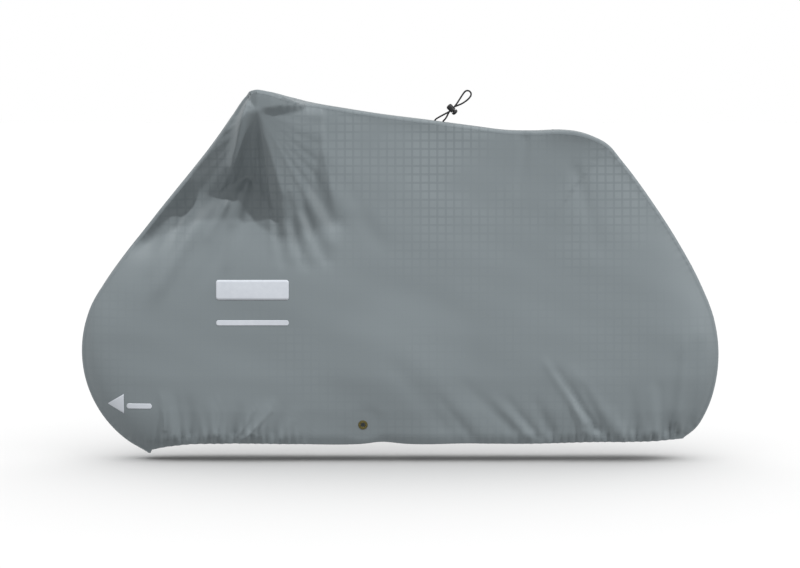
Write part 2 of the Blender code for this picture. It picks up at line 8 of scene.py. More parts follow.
import bpy
import numpy as np
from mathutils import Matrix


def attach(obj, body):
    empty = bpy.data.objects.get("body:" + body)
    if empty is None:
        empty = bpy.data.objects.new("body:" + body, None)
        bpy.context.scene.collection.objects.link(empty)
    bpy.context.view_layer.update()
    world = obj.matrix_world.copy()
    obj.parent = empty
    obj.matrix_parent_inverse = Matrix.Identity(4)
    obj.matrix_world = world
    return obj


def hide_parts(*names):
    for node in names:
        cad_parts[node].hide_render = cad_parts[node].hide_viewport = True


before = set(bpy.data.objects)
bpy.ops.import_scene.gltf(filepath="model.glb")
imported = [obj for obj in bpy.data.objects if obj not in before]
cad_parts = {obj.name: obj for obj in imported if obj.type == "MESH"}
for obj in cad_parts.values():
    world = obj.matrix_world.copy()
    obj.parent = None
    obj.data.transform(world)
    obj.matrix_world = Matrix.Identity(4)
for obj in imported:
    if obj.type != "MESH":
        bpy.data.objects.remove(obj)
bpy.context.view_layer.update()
print("frame loaded")

# ---- camera

view = {"aim": (0.414, 0.0, -0.557), "distance": 9.0, "elevation": 5.0, "wide": 2.4,
        "sensor": 36.0}


# Looks from the near side, a little down, with the lens that shows the wide view.
def makeCamera():
    data = bpy.data.cameras.new("camera")
    data.sensor_width = view["sensor"]
    data.lens = view["sensor"] * view["distance"] / view["wide"]
    camera = bpy.data.objects.new("camera", data)
    bpy.context.scene.collection.objects.link(camera)
    rise = math.radians(view["elevation"])
    back = np.array([0.0, -math.cos(rise), math.sin(rise)])
    camera.location = np.array(view["aim"]) + back * view["distance"]
    camera.rotation_euler = (math.radians(90.0) - rise, 0.0, 0.0)
    bpy.context.scene.camera = camera


makeCamera()

# ---- curves, meshes and materials in general

# Rows of millimetres in metres.
def metres(rows):
    return [[value / 1000.0 for value in row] for row in rows]


# The length along a line of points up to each of them.
def lengthAlong(line):
    return np.concatenate([[0.0], np.cumsum(np.linalg.norm(np.diff(line, axis=0), axis=1))])


# Vectors scaled to length 1.
def unit(vectors):
    return vectors / np.linalg.norm(vectors, axis=-1, keepdims=True)


# t^2 (3 - 2t), from 0 to 1 with level ends.
def ease(t):
    t = np.clip(t, 0.0, 1.0)
    return t * t * (3.0 - 2.0 * t)


# A column of a table in straight steps, at places of its first column.
def readTable(rows, place, column=1):
    rows = np.array(rows)
    return np.interp(place, rows[:, 0], rows[:, column])


# The second column of a table, level at every row and eased between them.
def easeTable(rows, place):
    places, values = np.array(rows)[:, 0], np.array(rows)[:, 1]
    index = np.clip(np.searchsorted(places, place, side="right") - 1, 0, len(places) - 2)
    t = (place - places[index]) / (places[index + 1] - places[index])
    return values[index] + (values[index + 1] - values[index]) * ease(t)


# A cubic Hermite curve through the points, read at parts 0 to 1 of its length. Each
# tangent comes from the two neighbours, with chord lengths as the parameter.
def smoothThrough(points, parts):
    points = np.asarray(points, dtype=float)
    knots = lengthAlong(points)
    slope = np.gradient(points, knots, axis=0)
    place = np.asarray(parts, dtype=float) * knots[-1]
    index = np.clip(np.searchsorted(knots, place, side="right") - 1, 0, len(knots) - 2)
    width = (knots[index + 1] - knots[index])[:, None]
    t = (place - knots[index])[:, None] / width
    return ((2 * t**3 - 3 * t**2 + 1) * points[index]
            + (t**3 - 2 * t**2 + t) * width * slope[index]
            + (3 * t**2 - 2 * t**3) * points[index + 1]
            + (t**3 - t**2) * width * slope[index + 1])


# Places at even steps along a line of points.
def evenSteps(line, step):
    along = lengthAlong(line)
    places = np.linspace(0.0, along[-1], int(round(along[-1] / step)) + 1)
    return np.stack([np.interp(places, along, line[:, i]) for i in range(line.shape[1])],
                    axis=1)


# Spokes of a circle at even angles a: cos(a) u + sin(a) v.
def spokes(count, u, v):
    angles = np.radians(360.0) * np.arange(count)[:, None] / count
    return np.cos(angles) * u[..., None, :] + np.sin(angles) * v[..., None, :]


# Quads between the rows of a grid of point numbers.
def gridQuads(index):
    return np.stack([index[:-1, :-1], index[1:, :-1], index[1:, 1:], index[:-1, 1:]],
                    axis=-1).reshape(-1, 4)


# Each point's normal is the sum of its faces' area vectors.
def pointNormals(points, quads):
    area = np.cross(points[quads[:, 2]] - points[quads[:, 0]],
                    points[quads[:, 3]] - points[quads[:, 1]])
    total = np.zeros_like(points)
    for corner in range(4):
        np.add.at(total, quads[:, corner], area)
    return total / np.maximum(np.linalg.norm(total, axis=1)[:, None], 1e-12)


# A new object of points and faces, with a place on the flat cloth for each point.
def makePiece(name, points, faces, uv=None):
    mesh = bpy.data.meshes.new(name)
    faces = faces if isinstance(faces, list) else faces.tolist()
    mesh.from_pydata(np.asarray(points).tolist(), [], faces)
    mesh.shade_smooth()
    if uv is not None:
        corner = np.empty(len(mesh.loops), dtype=np.int32)
        mesh.loops.foreach_get("vertex_index", corner)
        layer = mesh.uv_layers.new(name="cutPlaces")
        layer.data.foreach_set("uv", np.asarray(uv, dtype=np.float32)[corner].ravel())
    piece = bpy.data.objects.new(name, mesh)
    bpy.context.scene.collection.objects.link(piece)
    return piece


# A closed sheet: the surface, its copy one thickness further in, and a rim between them.
def makeSheet(name, points, quads, uv, thickness):
    count = len(points)
    steps = np.stack([quads, np.roll(quads, -1, axis=1)], axis=-1).reshape(-1, 2)
    lone = ~np.isin(steps[:, 0] * count + steps[:, 1], steps[:, 1] * count + steps[:, 0])
    rim = steps[lone]
    sides = np.stack([rim[:, 1], rim[:, 0], rim[:, 0] + count, rim[:, 1] + count], axis=1)
    inner = points - pointNormals(points, quads) * thickness
    faces = np.concatenate([quads, quads[:, ::-1] + count, sides])
    return makePiece(name, np.concatenate([points, inner]), faces,
                     np.concatenate([uv, uv]))


# A profile of (radius, place) rows turned about an axis. Rows at radius 0 become poles,
# and a profile with none closes on itself as a ring.
def turned(name, profile, steps, centre, axis):
    axis = np.array(axis) / np.linalg.norm(axis)
    side = unit(np.cross(axis, (0.0, 1.0, 0.0) if abs(axis[1]) < 0.9 else (1.0, 0.0, 0.0)))
    spoke = spokes(steps, side, np.cross(axis, side))
    profile = np.array(profile, dtype=float)
    poles = profile[0, 0] == 0.0
    rings = profile[1:-1] if poles else profile
    points = (np.array(centre) + rings[None, :, 1, None] * axis
              + rings[None, :, 0, None] * spoke[:, None, :]).reshape(-1, 3)
    index = np.arange(steps * len(rings)).reshape(steps, -1)
    index = np.concatenate([index, index[:1]])
    if not poles:
        index = np.concatenate([index, index[:, :1]], axis=1)
    faces = gridQuads(index).tolist()
    if poles:
        ends = np.array(centre) + profile[[0, -1], 1][:, None] * axis
        for pole, ring in ((len(points), index[::-1, 0]), (len(points) + 1, index[:, -1])):
            faces += [[pole, a, b] for a, b in zip(ring[:-1].tolist(), ring[1:].tolist())]
        points = np.concatenate([points, ends])
    return makePiece(name, points, faces)


# Cuts shapes out of a piece and keeps the result as its mesh.
def cutOut(piece, cutters):
    for cutter in cutters:
        cut = piece.modifiers.new("cut", "BOOLEAN")
        cut.operation = "DIFFERENCE"
        cut.object = cutter
    graph = bpy.context.evaluated_depsgraph_get()
    made = bpy.data.meshes.new_from_object(piece.evaluated_get(graph))
    piece.modifiers.clear()
    old, piece.data = piece.data, made
    bpy.data.meshes.remove(old)
    made.name = piece.name
    for cutter in cutters:
        bpy.data.objects.remove(cutter)


# sRGB hex to a linear colour with alpha.
def colourOf(value):
    parts = [int(value[i:i + 2], 16) / 255 for i in (1, 3, 5)]
    return [p / 12.92 if p <= 0.04045 else ((p + 0.055) / 1.055)**2.4 for p in parts] + [1.0]


# Adds one node and gives its output of that name or number, or all of them for None.
# inputs holds values or other nodes' outputs, by socket name or number.
def addNode(tree, kind, inputs=None, out=0, **settings):
    node = tree.nodes.new("ShaderNode" + kind)
    for name, value in settings.items():
        setattr(node, name, value)
    for key, value in (inputs or {}).items():
        if isinstance(value, bpy.types.NodeSocket):
            tree.links.new(value, node.inputs[key])
        else:
            node.inputs[key].default_value = value
    return node.outputs if out is None else node.outputs[out]


def newMaterial(name):
    material = bpy.data.materials.new(name)
    material.use_nodes = True
    tree = material.node_tree
    return material, tree, tree.nodes["Principled BSDF"]


# Ends a material: every (share, colour) of tones is laid over its own colour in turn, the
# pattern moves its roughness from one value to the other, and the height gives the bump.
def finishMaterial(tree, shader, look, tones, pattern, height=None):
    tone = colourOf(look["colour"])
    for share, colour in tones:
        tone = addNode(tree, "Mix", {0: share, 6: tone, 7: colourOf(colour)}, out=2,
                       data_type="RGBA")
    rough = addNode(tree, "MapRange", {"Value": pattern, "To Min": look["roughness"][0],
                                       "To Max": look["roughness"][1]})
    tree.links.new(tone, shader.inputs["Base Color"])
    tree.links.new(rough, shader.inputs["Roughness"])
    if height is not None:
        bump = addNode(tree, "Bump", {"Height": height, "Strength": look["bump"],
                                      "Distance": look["relief"]})
        tree.links.new(bump, shader.inputs["Normal"])


# ---- elastic cord loop

elasticCord = {"diameter": 0.0050, "step": 0.0011, "sides": 20, "between": 20,
               "length": 0.270, "into": 0.0030}
# The cord's route as x, y, z: out of the strip and through the lock, round an arc at the
# loop's end, and back through the lock into the strip.
cordOutRows = [
    (0.5186, 0.0000, -0.0656), (0.5205, -0.0001, -0.0632), (0.5250, -0.0006, -0.0599),
    (0.5322, -0.0015, -0.0558), (0.5415, -0.0025, -0.0508), (0.5512, -0.0032, -0.0456),
    (0.5612, -0.0034, -0.0405), (0.5688, -0.0034, -0.0332), (0.5764, -0.0033, -0.0259),
    (0.5838, -0.0027, -0.0162), (0.5905, -0.0016, -0.0060), (0.5963, -0.0006, 0.0034),
    (0.6013, -0.0001, 0.0110),
]
cordTip = {"x": 0.6152, "z": 0.0112, "radius": 0.0112, "firstAngle": 145.0,
           "lastAngle": -40.0, "points": 9}
cordBackRows = [
    (0.6197, 0.0001, -0.0010), (0.6148, 0.0006, -0.0057), (0.6086, 0.0013, -0.0106),
    (0.6016, 0.0019, -0.0152), (0.5942, 0.0026, -0.0191), (0.5860, 0.0032, -0.0221),
    (0.5764, 0.0034, -0.0259), (0.5688, 0.0034, -0.0332), (0.5612, 0.0034, -0.0405),
    (0.5572, 0.0028, -0.0478), (0.5539, 0.0017, -0.0551), (0.5499, 0.0006, -0.0616),
    (0.5455, 0.0001, -0.0660), (0.5430, 0.0000, -0.0687),
]


# The middle of the cord at even steps: a uniform cubic B-spline over the rows, in which
# the first and the last one count three times.
def cordRoute(step):
    angles = np.radians(np.linspace(cordTip["firstAngle"], cordTip["lastAngle"],
                                    cordTip["points"]))
    tip = np.stack([cordTip["x"] + cordTip["radius"] * np.cos(angles), 0.0 * angles,
                    cordTip["z"] + cordTip["radius"] * np.sin(angles)], axis=1)
    rows = np.concatenate([cordOutRows[:1] * 2, cordOutRows, tip, cordBackRows,
                           cordBackRows[-1:] * 2])
    t = (np.arange(elasticCord["between"]) / elasticCord["between"])[None, :, None]
    share = ((1 - t)**3 / 6, (3 * t**3 - 6 * t**2 + 4) / 6,
             (3 * t**2 - 3 * t**3 + 3 * t + 1) / 6, t**3 / 6)
    fine = sum(share[i] * rows[i:len(rows) - 3 + i, None, :] for i in range(4))
    fine = np.concatenate([fine.reshape(-1, 3), rows[-1:]])
    return evenSteps(fine, step)


# A round tube along the route. Its rings turn with the route's direction t: one spoke is
# +Y made square to t, the other is t x spoke. Both ends close in a flat cap.
def makeCord():
    route = cordRoute(elasticCord["step"])
    sink = np.array([[0.0, 0.0, -elasticCord["into"]]])
    route = np.concatenate([route[:1] + sink, route, route[-1:] + sink])
    ahead = unit(np.gradient(route, axis=0))
    spoke = unit(np.array([0.0, 1.0, 0.0]) - ahead * ahead[:, 1:2])
    sides = elasticCord["sides"]
    ring = spokes(sides, spoke, np.cross(ahead, spoke))
    points = route[:, None] + ring * elasticCord["diameter"] / 2
    index = np.arange(len(route) * sides).reshape(-1, sides)
    closed = np.concatenate([index, index[:, :1]], axis=1)
    faces = gridQuads(closed).tolist() + [index[0].tolist(), index[-1, ::-1].tolist()]
    around = np.arange(sides) / sides * math.pi * elasticCord["diameter"]
    uv = np.stack(np.broadcast_arrays(around[None, :], lengthAlong(route)[:, None]), axis=-1)
    cord = makePiece("elastic_cord_loop", points.reshape(-1, 3), faces, uv.reshape(-1, 2))
    return cord, route


elasticLoop, loopRoute = makeCord()
print("cord made")

# ---- the cloth's shape: the same sizes as the solids, with finer folds

seamGap = 0.0003            # between the strip and each panel
crownHeight = 0.0015        # of the strip, across its width
# A panel leaves the seam by swell and then turns down. radius is the height of that turn.
# It grows by spread, and its corner gets as full as fullPower, where the panel stands
# bulgeSpan or more off the seam.
edge = {"swell": 0.006, "radius": 0.010, "spread": 0.008, "bulgeSpan": 0.220,
        "power": 2.0, "fullPower": 4.5}
# The seam's nose is an arc, with the same half width of the strip all along.
nose = {"x": -0.2030, "z": -0.7560, "radius": 0.3360, "half": 0.030,
        "lowAngle": 245.0, "highAngle": 142.6, "points": 9}
# The panels' upper corners lie on the seam above upperZ, at peakX and rearBreakX. finer
# is how many more steps are searched for them, and slopeStep is the part of the seam's
# length to either side of a place over which its slope is taken.
seam = {"peakX": 0.000, "rearBreakX": 1.050, "upperZ": -0.400, "steps": 160, "finer": 25,
        "slopeStep": 0.0006}
# Millimetres: x, z and half the strip's width, from the top of the nose up to the peak and
# back to the lower rear corner
seamRows = [
    (-401, -456, 30), (-352.5, -395.5, 31), (-305, -335.5, 32), (-256.5, -275.7, 33),
    (-207.5, -215.8, 34), (-160, -156, 34), (-115, -96.5, 35), (-72.8, -37, 35),
    (-55, -12, 35), (-40, 5, 35), (-22, 15, 35), (-2, 17.5, 35), (18, 15, 35),
    (40, 10, 35), (70, 2, 35), (110, -6, 35), (175, -19, 35), (235, -29, 35),
    (354, -47.8, 35), (498, -66, 35), (642, -85, 36), (730, -96, 40), (816, -98, 50),
    (900, -96, 62), (940, -100, 64), (990, -115, 58), (1030, -136, 48), (1076, -188, 40),
    (1167, -310, 35), (1245, -430, 35), (1311, -551, 33), (1354, -660, 32),
    (1368, -760, 32), (1361, -845, 32), (1336, -930, 31), (1300, -990, 30),
    (1266, -1017, 30),
]
# Millimetres: x and z of the hem
hemRows = [
    (-342, -1053), (-285, -1039), (-225, -1031), (-100, -1027), (100, -1028.5),
    (300, -1027.5), (360, -1021.5), (425, -1027), (620, -1026.5), (820, -1027.5),
    (980, -1022.5), (1120, -1021.5), (1266, -1017),
]
# z and half the depth of the hanging cloth
depthRows = [
    (-1.060, 0.086), (-0.930, 0.100), (-0.830, 0.104), (-0.700, 0.099), (-0.500, 0.084),
    (-0.300, 0.066), (-0.100, 0.047), (0.020, 0.040),
]
# The hanging depth is neared over this run from the seam, low down and high up
hangRun = {"lowZ": -0.700, "highZ": -0.400, "low": 0.045, "high": 0.085}
# The hem curls in over this height. steps are those of its curve.
hem = {"curl": 0.008, "height": 0.034, "steps": 400}
# A taut tent stands on the horn's end. It meets the hanging cloth in a soft crease, blend
# wide, whose distance from the tip is listed by angle: 0 is straight down, 90 to the rear.
horn = {"x": 0.002, "z": -0.046, "depth": 0.268, "round": 0.022, "foot": 0.080,
        "blend": 0.010, "foldsFrom": 0.030}
hornRows = [
    (-180, 0.100), (-128, 0.082), (-105, 0.088), (-90, 0.100), (-75, 0.136),
    (-63, 0.175), (-50, 0.205), (-41, 0.220), (-34, 0.228), (-29, 0.216),
    (-24, 0.186), (-19, 0.164), (-14, 0.154), (-8, 0.156), (-2, 0.174),
    (4, 0.225), (8, 0.275), (13, 0.295), (20, 0.275), (28, 0.240),
    (35, 0.204), (43, 0.180), (51, 0.164), (65, 0.150), (85, 0.136),
    (120, 0.105), (180, 0.100),
]
# The blunt end on top of the horn: at each x its depth and its lower edge, which is soft.
capSoft = 0.020
capRows = [
    (-0.050, 0.030, -0.0480), (-0.018, 0.255, -0.0500), (0.000, 0.268, -0.0500),
    (0.038, 0.268, -0.0500), (0.068, 0.255, -0.0440), (0.088, 0.225, -0.0380),
    (0.106, 0.185, -0.0330), (0.122, 0.140, -0.0290), (0.138, 0.085, -0.0270),
    (0.152, 0.040, -0.0270),
]
# The near horn's end lies higher than its root: from one depth on to the other, and not
# at its front.
hornRise = {"height": 0.021, "from": 0.125, "to": 0.268, "power": 1.3, "noneX": -0.090,
            "fullX": -0.030}
# A low round swelling in the middle of both sides
knuckle = {"x": 0.414, "z": -0.790, "rise": 0.014, "reach": 0.240}
# Folds in millimetres: from x, z to x, z, half their width and their height at both ends.
# Heights below 0 are troughs.
foldRows = [
    (-240, -256, -350, -395, 24, 24, 14, 16), (-185, -312, -330, -412, 46, 40, -24, -18),
    (-105, -320, -150, -400, 12, 16, 10, 4), (-62, -280, -85, -360, 10, 14, 10, 4),
    (-170, -300, -290, -540, 22, 26, 12, 6), (-340, -520, -40, -540, 150, 150, 14, 14),
    (-40, -250, -96, -480, 12, 18, 13, 4), (-150, -330, -300, -560, 22, 28, 9, 4),
    (-40, -330, -160, -520, 26, 30, -8, -3), (-262, -365, -315, -500, 16, 22, 8, 3),
    (72, -60, 220, -360, 18, 22, -6, -8), (130, -70, 270, -320, 20, 24, 3, 4),
    (190, -190, 340, -410, 24, 28, -5, -3), (786, -125, 768, -260, 14, 20, -6, -2),
    (940, -225, 1000, -430, 20, 28, -5, -2), (420, -820, 560, -985, 30, 32, -3, -4),
    (490, -800, 650, -980, 28, 30, 1, 3), (610, -850, 750, -985, 16, 18, -1, -4),
    (885, -815, 1000, -985, 11, 13, -4, -12), (935, -820, 1055, -975, 18, 20, 2, 4),
    (-9, -912, -74, -1008, 4, 5, 2, 6), (30, -928, -48, -1010, 4, 5, 2, 6),
    (-292, -889, -290, -985, 5, 5, 2, 4), (-126, -890, -134, -1000, 4, 5, 2, 5),
    (1218, -985, 1240, -790, 16, 20, -9, -3), (1278, -965, 1304, -750, 16, 20, -9, -3),
    (-278, -900, -266, -1000, 16, 18, 3, 9), (-212, -915, -206, -995, 14, 17, -3, -9),
    (-146, -925, -142, -995, 15, 17, 3, 9), (-66, -930, -80, -995, 14, 16, -3, -9),
    (12, -925, -24, -995, 15, 17, 3, 9), (66, -930, 40, -995, 14, 16, -2, -7),
    (826, -915, 862, -990, 16, 18, -3, -9), (1106, -890, 1114, -985, 16, 18, -3, -10),
    (1164, -880, 1174, -985, 16, 18, 3, 9),
    # finer ones at the front hem
    (-300, -880, -285, -1010, 7, 9, 1, 4), (-246, -900, -240, -1010, 7, 8, -1, -4),
    (-180, -940, -175, -1015, 6, 8, 1, 5), (-110, -930, -112, -1015, 6, 8, 1, 5),
    (-40, -940, -52, -1015, 6, 8, 1, 5), (36, -905, -4, -1010, 7, 8, 2, 6),
    (100, -930, 62, -1012, 8, 9, 1, 5), (150, -940, 130, -1010, 10, 10, -1, -3),
    # and at the rear one
    (540, -900, 620, -1000, 14, 16, -2, -4), (700, -900, 790, -1000, 12, 14, 2, 5),
    (740, -900, 826, -1005, 10, 12, -2, -5), (850, -790, 965, -960, 10, 12, 3, 7),
    (905, -840, 960, -985, 9, 10, 2, 6), (960, -860, 1030, -1000, 10, 12, -3, -7),
    (1055, -930, 1072, -1008, 7, 9, 1, 6), (1090, -950, 1086, -1008, 6, 8, 1, 5),
    (1140, -940, 1148, -1005, 7, 9, 1, 5), (1190, -860, 1200, -990, 8, 10, -2, -6),
    (1240, -960, 1262, -730, 10, 12, 6, 2),
]
# The horn's own folds: the angle, then in millimetres the first and last reach from the
# tip, and half the width and the height at both.
hornFoldRows = [
    (-3, 50, 170, 8, 12, 2, 4), (2, 60, 220, 7, 10, -2, -4), (6.5, 60, 250, 7, 11, 2, 6),
    (11.5, 90, 250, 6, 9, -2, -6), (16, 80, 240, 7, 11, 2, 6), (22, 80, 220, 6, 9, -2, -4),
]
# The same, but on the hanging cloth
fanFoldRows = [
    (4.5, 240, 400, 9, 13, 6, 2), (8, 240, 440, 8, 11, -6, -3), (12, 240, 430, 9, 12, 6, 4),
    (16, 220, 460, 8, 11, -4, -5), (20, 200, 450, 8, 12, 4, 5),
    (24, 160, 470, 9, 12, -4, -6), (28.5, 140, 430, 10, 14, 4, 4),
    (34, 130, 380, 10, 14, -3, -3),
]
# As foldRows: a ridge down from the horn's front corner, and a rim along the front edge,
# over horn and hanging cloth alike
ridgeRows = [(-32, -20, -78, -195, 18, 13, 42, 36)]
rimRows = [(-100, -75, -250, -268, 34, 40, 30, 24)]
# How far a fold's soft ends reach, in its half widths
foldEnd = 1.6
# Small gathers along the hem: x and their height
gatherRows = [
    (-0.350, 0.0020), (-0.300, 0.0034), (-0.080, 0.0038), (0.060, 0.0026),
    (0.200, 0.0006), (0.560, 0.0006), (0.760, 0.0020), (0.950, 0.0042), (1.260, 0.0050),
]
gather = {"length": 0.025, "height": 0.046, "wander": 0.8, "wanderLength": 0.31}
# The seams' puckers, on the panels and, weaker, on the strip
pucker = {"length": 0.021, "height": 0.0007, "reach": 0.022, "wander": 1.3,
          "wanderLength": 0.17, "stripShare": 0.6}
# Both wander by a second wave as well: its share, its part of wanderLength, its phase
secondWander = {"share": 0.7, "length": 0.37, "phase": 1.0}
# Slow unevenness of the taut cloth: length along x and z, turn, height, phase
rippleRows = [
    (0.460, 0.900, 0.3, 0.0016, 0.4), (0.270, 0.610, -0.6, 0.0008, 2.1),
    (0.170, 0.330, 0.9, 0.0003, 1.2), (0.110, 0.640, -0.2, 0.00016, 5.2),
]
# The eyelets, and the cloth that lies flat round them before it blends into its own shape
eyelet = {"x": 0.3036, "z": -0.9700, "barrel": 0.0078, "gap": 0.0003, "flatRadius": 0.040,
          "blend": 0.034, "cut": 0.010, "steps": 48, "clothThickness": 0.0016,
          "sink": 0.0002}
cloth = {"bandSteps": 7, "stripSteps": 12, "thickness": 0.0004, "allowance": 0.006,
         "hemFold": 4, "hemTurn": 4, "hemRadius": 0.0018}
# Where the grid's lines lie closer: number of the line and its part of the height or length
rowSteps = [(0, 0.0), (26, 0.12), (66, 0.55), (158, 1.0)]
columnSteps = [(0, 0.0), (96, 0.30), (128, 0.55), (228, 1.0)]


# Parts 0 to 1 at every line of such a table.
def partsOf(table):
    lines, parts = zip(*table)
    return np.interp(np.arange(lines[-1] + 1), lines, parts)


# The rows x, z, half along the whole seam, from the front hem corner.
def seamPlaces():
    angles = np.radians(np.linspace(nose["lowAngle"], nose["highAngle"], nose["points"]))
    arc = np.stack([nose["x"] + nose["radius"] * np.cos(angles),
                    nose["z"] + nose["radius"] * np.sin(angles),
                    np.full(len(angles), nose["half"])], axis=1)
    return np.concatenate([arc, metres(seamRows)])


# The part of the seam's length at each place where a grid line of a panel meets it.
def seamParts():
    fine = np.linspace(0.0, 1.0, seam["finer"] * seam["steps"] + 1)
    curve = smoothThrough(seamPlaces(), fine)
    upper = curve[:, 1] > seam["upperZ"]
    peak = fine[upper][np.argmin(np.abs(curve[upper, 0] - seam["peakX"]))]
    last = fine[upper][np.argmin(np.abs(curve[upper, 0] - seam["rearBreakX"]))]
    rows, top = partsOf(rowSteps), partsOf(columnSteps)
    return np.concatenate([rows * peak, peak + top[1:] * (last - peak),
                           (1.0 - rows[::-1] * (1.0 - last))[1:]])


# The seam's x, z, half and outward normal (x, z) at the given parts.
def seamFrame(parts):
    places = seamPlaces()
    here = smoothThrough(places, parts)
    ahead = smoothThrough(places, np.clip(parts + seam["slopeStep"], 0.0, 1.0))
    behind = smoothThrough(places, np.clip(parts - seam["slopeStep"], 0.0, 1.0))
    along = unit((ahead - behind)[:, :2])
    normal = np.stack([-along[:, 1], along[:, 0]], axis=1)
    normal[0], normal[-1] = (-1.0, 0.0), (1.0, 0.0)
    return here, normal


# The distance from each place to the seam, the strip's half width there, and how far
# along the seam it is.
def seamDistance(x, z):
    line = smoothThrough(seamPlaces(), np.linspace(0.0, 1.0, seam["steps"]))
    start, step = line[:-1, :2], np.diff(line[:, :2], axis=0)
    length = np.linalg.norm(step, axis=1)
    before = lengthAlong(line[:, :2])
    place = np.stack([x.ravel(), z.ravel()], axis=1)[:, None, :]
    along = np.clip(((place - start) * step).sum(-1) / length**2, 0.0, 1.0)
    gap = np.linalg.norm(place - start - along[..., None] * step, axis=-1)
    near = np.argmin(gap, axis=1)
    pick = np.arange(len(near))
    part = along[pick, near]
    half = line[near, 2] + part * (line[near + 1, 2] - line[near, 2])
    far = before[near] + part * length[near]
    return gap[pick, near].reshape(x.shape), half.reshape(x.shape), far.reshape(x.shape)


# Adds up folds: each is height * exp(-(off / width)^2 - (past / (foldEnd width))^2), where
# off is the distance from its line and past the distance beyond its ends.
def foldHeight(x, z, rows):
    total = np.zeros_like(x)
    for x0, z0, x1, z1, wide0, wide1, high0, high1 in rows:
        length = math.hypot(x1 - x0, z1 - z0)
        alongX, alongZ = (x1 - x0) / length, (z1 - z0) / length
        t = ((x - x0) * alongX + (z - z0) * alongZ) / length
        off = (x - x0) * alongZ - (z - z0) * alongX
        inside = np.clip(t, 0.0, 1.0)
        wide = wide0 + (wide1 - wide0) * inside
        high = high0 + (high1 - high0) * inside
        past = (t - inside) * length
        total += high * np.exp(-(off / wide)**2 - (past / (foldEnd * wide))**2)
    return total


# A table of the horn's folds as rows of that kind: each runs out from the tip at its angle.
def hornFolds(table):
    rows = []
    for angle, *sizes in table:
        first, last, *section = metres([sizes])[0]
        dx, dz = math.sin(math.radians(angle)), -math.cos(math.radians(angle))
        rows.append([horn["x"] + dx * first, horn["z"] + dz * first, horn["x"] + dx * last,
                     horn["z"] + dz * last] + section)
    return rows


# A wave whose phase wanders: sin(2 pi place / length + wander (sin(2 pi place / slow) + a
# second, smaller sine)).
def wanderingWave(place, kind):
    turn, slow = 2.0 * math.pi * place, kind["wanderLength"]
    second = np.sin(turn / (secondWander["length"] * slow) + secondWander["phase"])
    wander = np.sin(turn / slow) + secondWander["share"] * second
    return np.sin(turn / kind["length"] + kind["wander"] * wander)


# Half depth of the draped cloth at places of the side view. The hanging cloth starts at
# the seam's width and nears its own depth as 1 - exp(-distance / run), with its folds.
# The horn's tent falls straight from the tip, and the two join in a smooth maximum,
# (a + b + sqrt((a - b)^2 + blend^2)) / 2. The rim, the blunt end, the knuckle, the gathers,
# the puckers, the slow unevenness and the curl of the hem come on top.
def sideDepth(x, z):
    gap, half, along = seamDistance(x, z)
    run = np.interp(z, [hangRun["lowZ"], hangRun["highZ"]],
                    [hangRun["low"], hangRun["high"]])
    start = half + edge["swell"]
    depth = start + (readTable(depthRows, z) - start) * (1.0 - np.exp(-gap / run))
    depth += foldHeight(x, z, metres(foldRows) + hornFolds(fanFoldRows))
    dx, dz = x - horn["x"], z - horn["z"]
    reach = easeTable(hornRows, np.degrees(np.arctan2(dx, -dz)))
    away = np.sqrt(dx**2 + dz**2 + horn["round"]**2) - horn["round"]
    tent = horn["depth"] - (horn["depth"] - horn["foot"]) * away / reach
    tent += (foldHeight(x, z, hornFolds(hornFoldRows) + metres(ridgeRows))
             * np.clip(gap / horn["foldsFrom"], 0.0, 1.0))
    depth = 0.5 * (depth + tent + np.sqrt((depth - tent)**2 + horn["blend"]**2))
    depth += foldHeight(x, z, metres(rimRows))
    over = ease((z - readTable(capRows, x, 2)) / capSoft + 0.5)
    depth += np.clip(easeTable(capRows, x) - depth, 0.0, None) * over
    away = np.hypot(x - knuckle["x"], z - knuckle["z"]) / knuckle["reach"]
    depth += knuckle["rise"] * np.clip(1.0 - away**2, 0.0, 1.0)**2
    inside = np.clip(gap / hem["height"], 0.0, 1.0)
    above = np.clip(z - readTable(metres(hemRows), x), 0.0, None)
    depth += (readTable(gatherRows, x) * wanderingWave(x, gather) * ease(inside)
              * np.exp(-(above / gather["height"])**2))
    depth += (pucker["height"] * wanderingWave(along, pucker)
              * np.exp(-(gap / pucker["reach"])**2))
    for longX, longZ, turn, height, phase in rippleRows:
        place = (x + turn * z) / longX + (z - turn * x) / longZ
        depth += height * ease(inside) * np.sin(2.0 * math.pi * place + phase)
    low = np.clip(above / hem["height"], 0.0, 1.0)
    return depth - hem["curl"] * inside * (1.0 - low)**2


# The near eyelet's middle and axis, as the solids have them, turned to the side at +Y:
# its depth on the cloth's outer face, the slopes along x and z, and the axis.
def eyeletPlane():
    ring = np.array([corner.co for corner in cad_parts["eyelet_near"].data.vertices])
    ring *= (1.0, -1.0, 1.0)
    middle = 0.5 * (ring.min(axis=0) + ring.max(axis=0))
    axis = np.linalg.svd(ring - middle, full_matrices=False)[2][-1]
    axis *= np.sign(axis[1])
    middle = middle + axis * eyelet["clothThickness"] / 2
    return middle[1], -axis[0] / axis[1], -axis[2] / axis[1], axis


eyeletDepth, eyeletSlopeX, eyeletSlopeZ, eyeletAxis = eyeletPlane()


# As sideDepth, but flat round the eyelet.
def clothDepth(x, z):
    dx, dz = x - eyelet["x"], z - eyelet["z"]
    flat = eyeletDepth + eyeletSlopeX * dx + eyeletSlopeZ * dz
    mix = ease((np.hypot(dx, dz) - eyelet["flatRadius"]) / eyelet["blend"])
    return flat * (1.0 - mix) + sideDepth(x, z) * mix


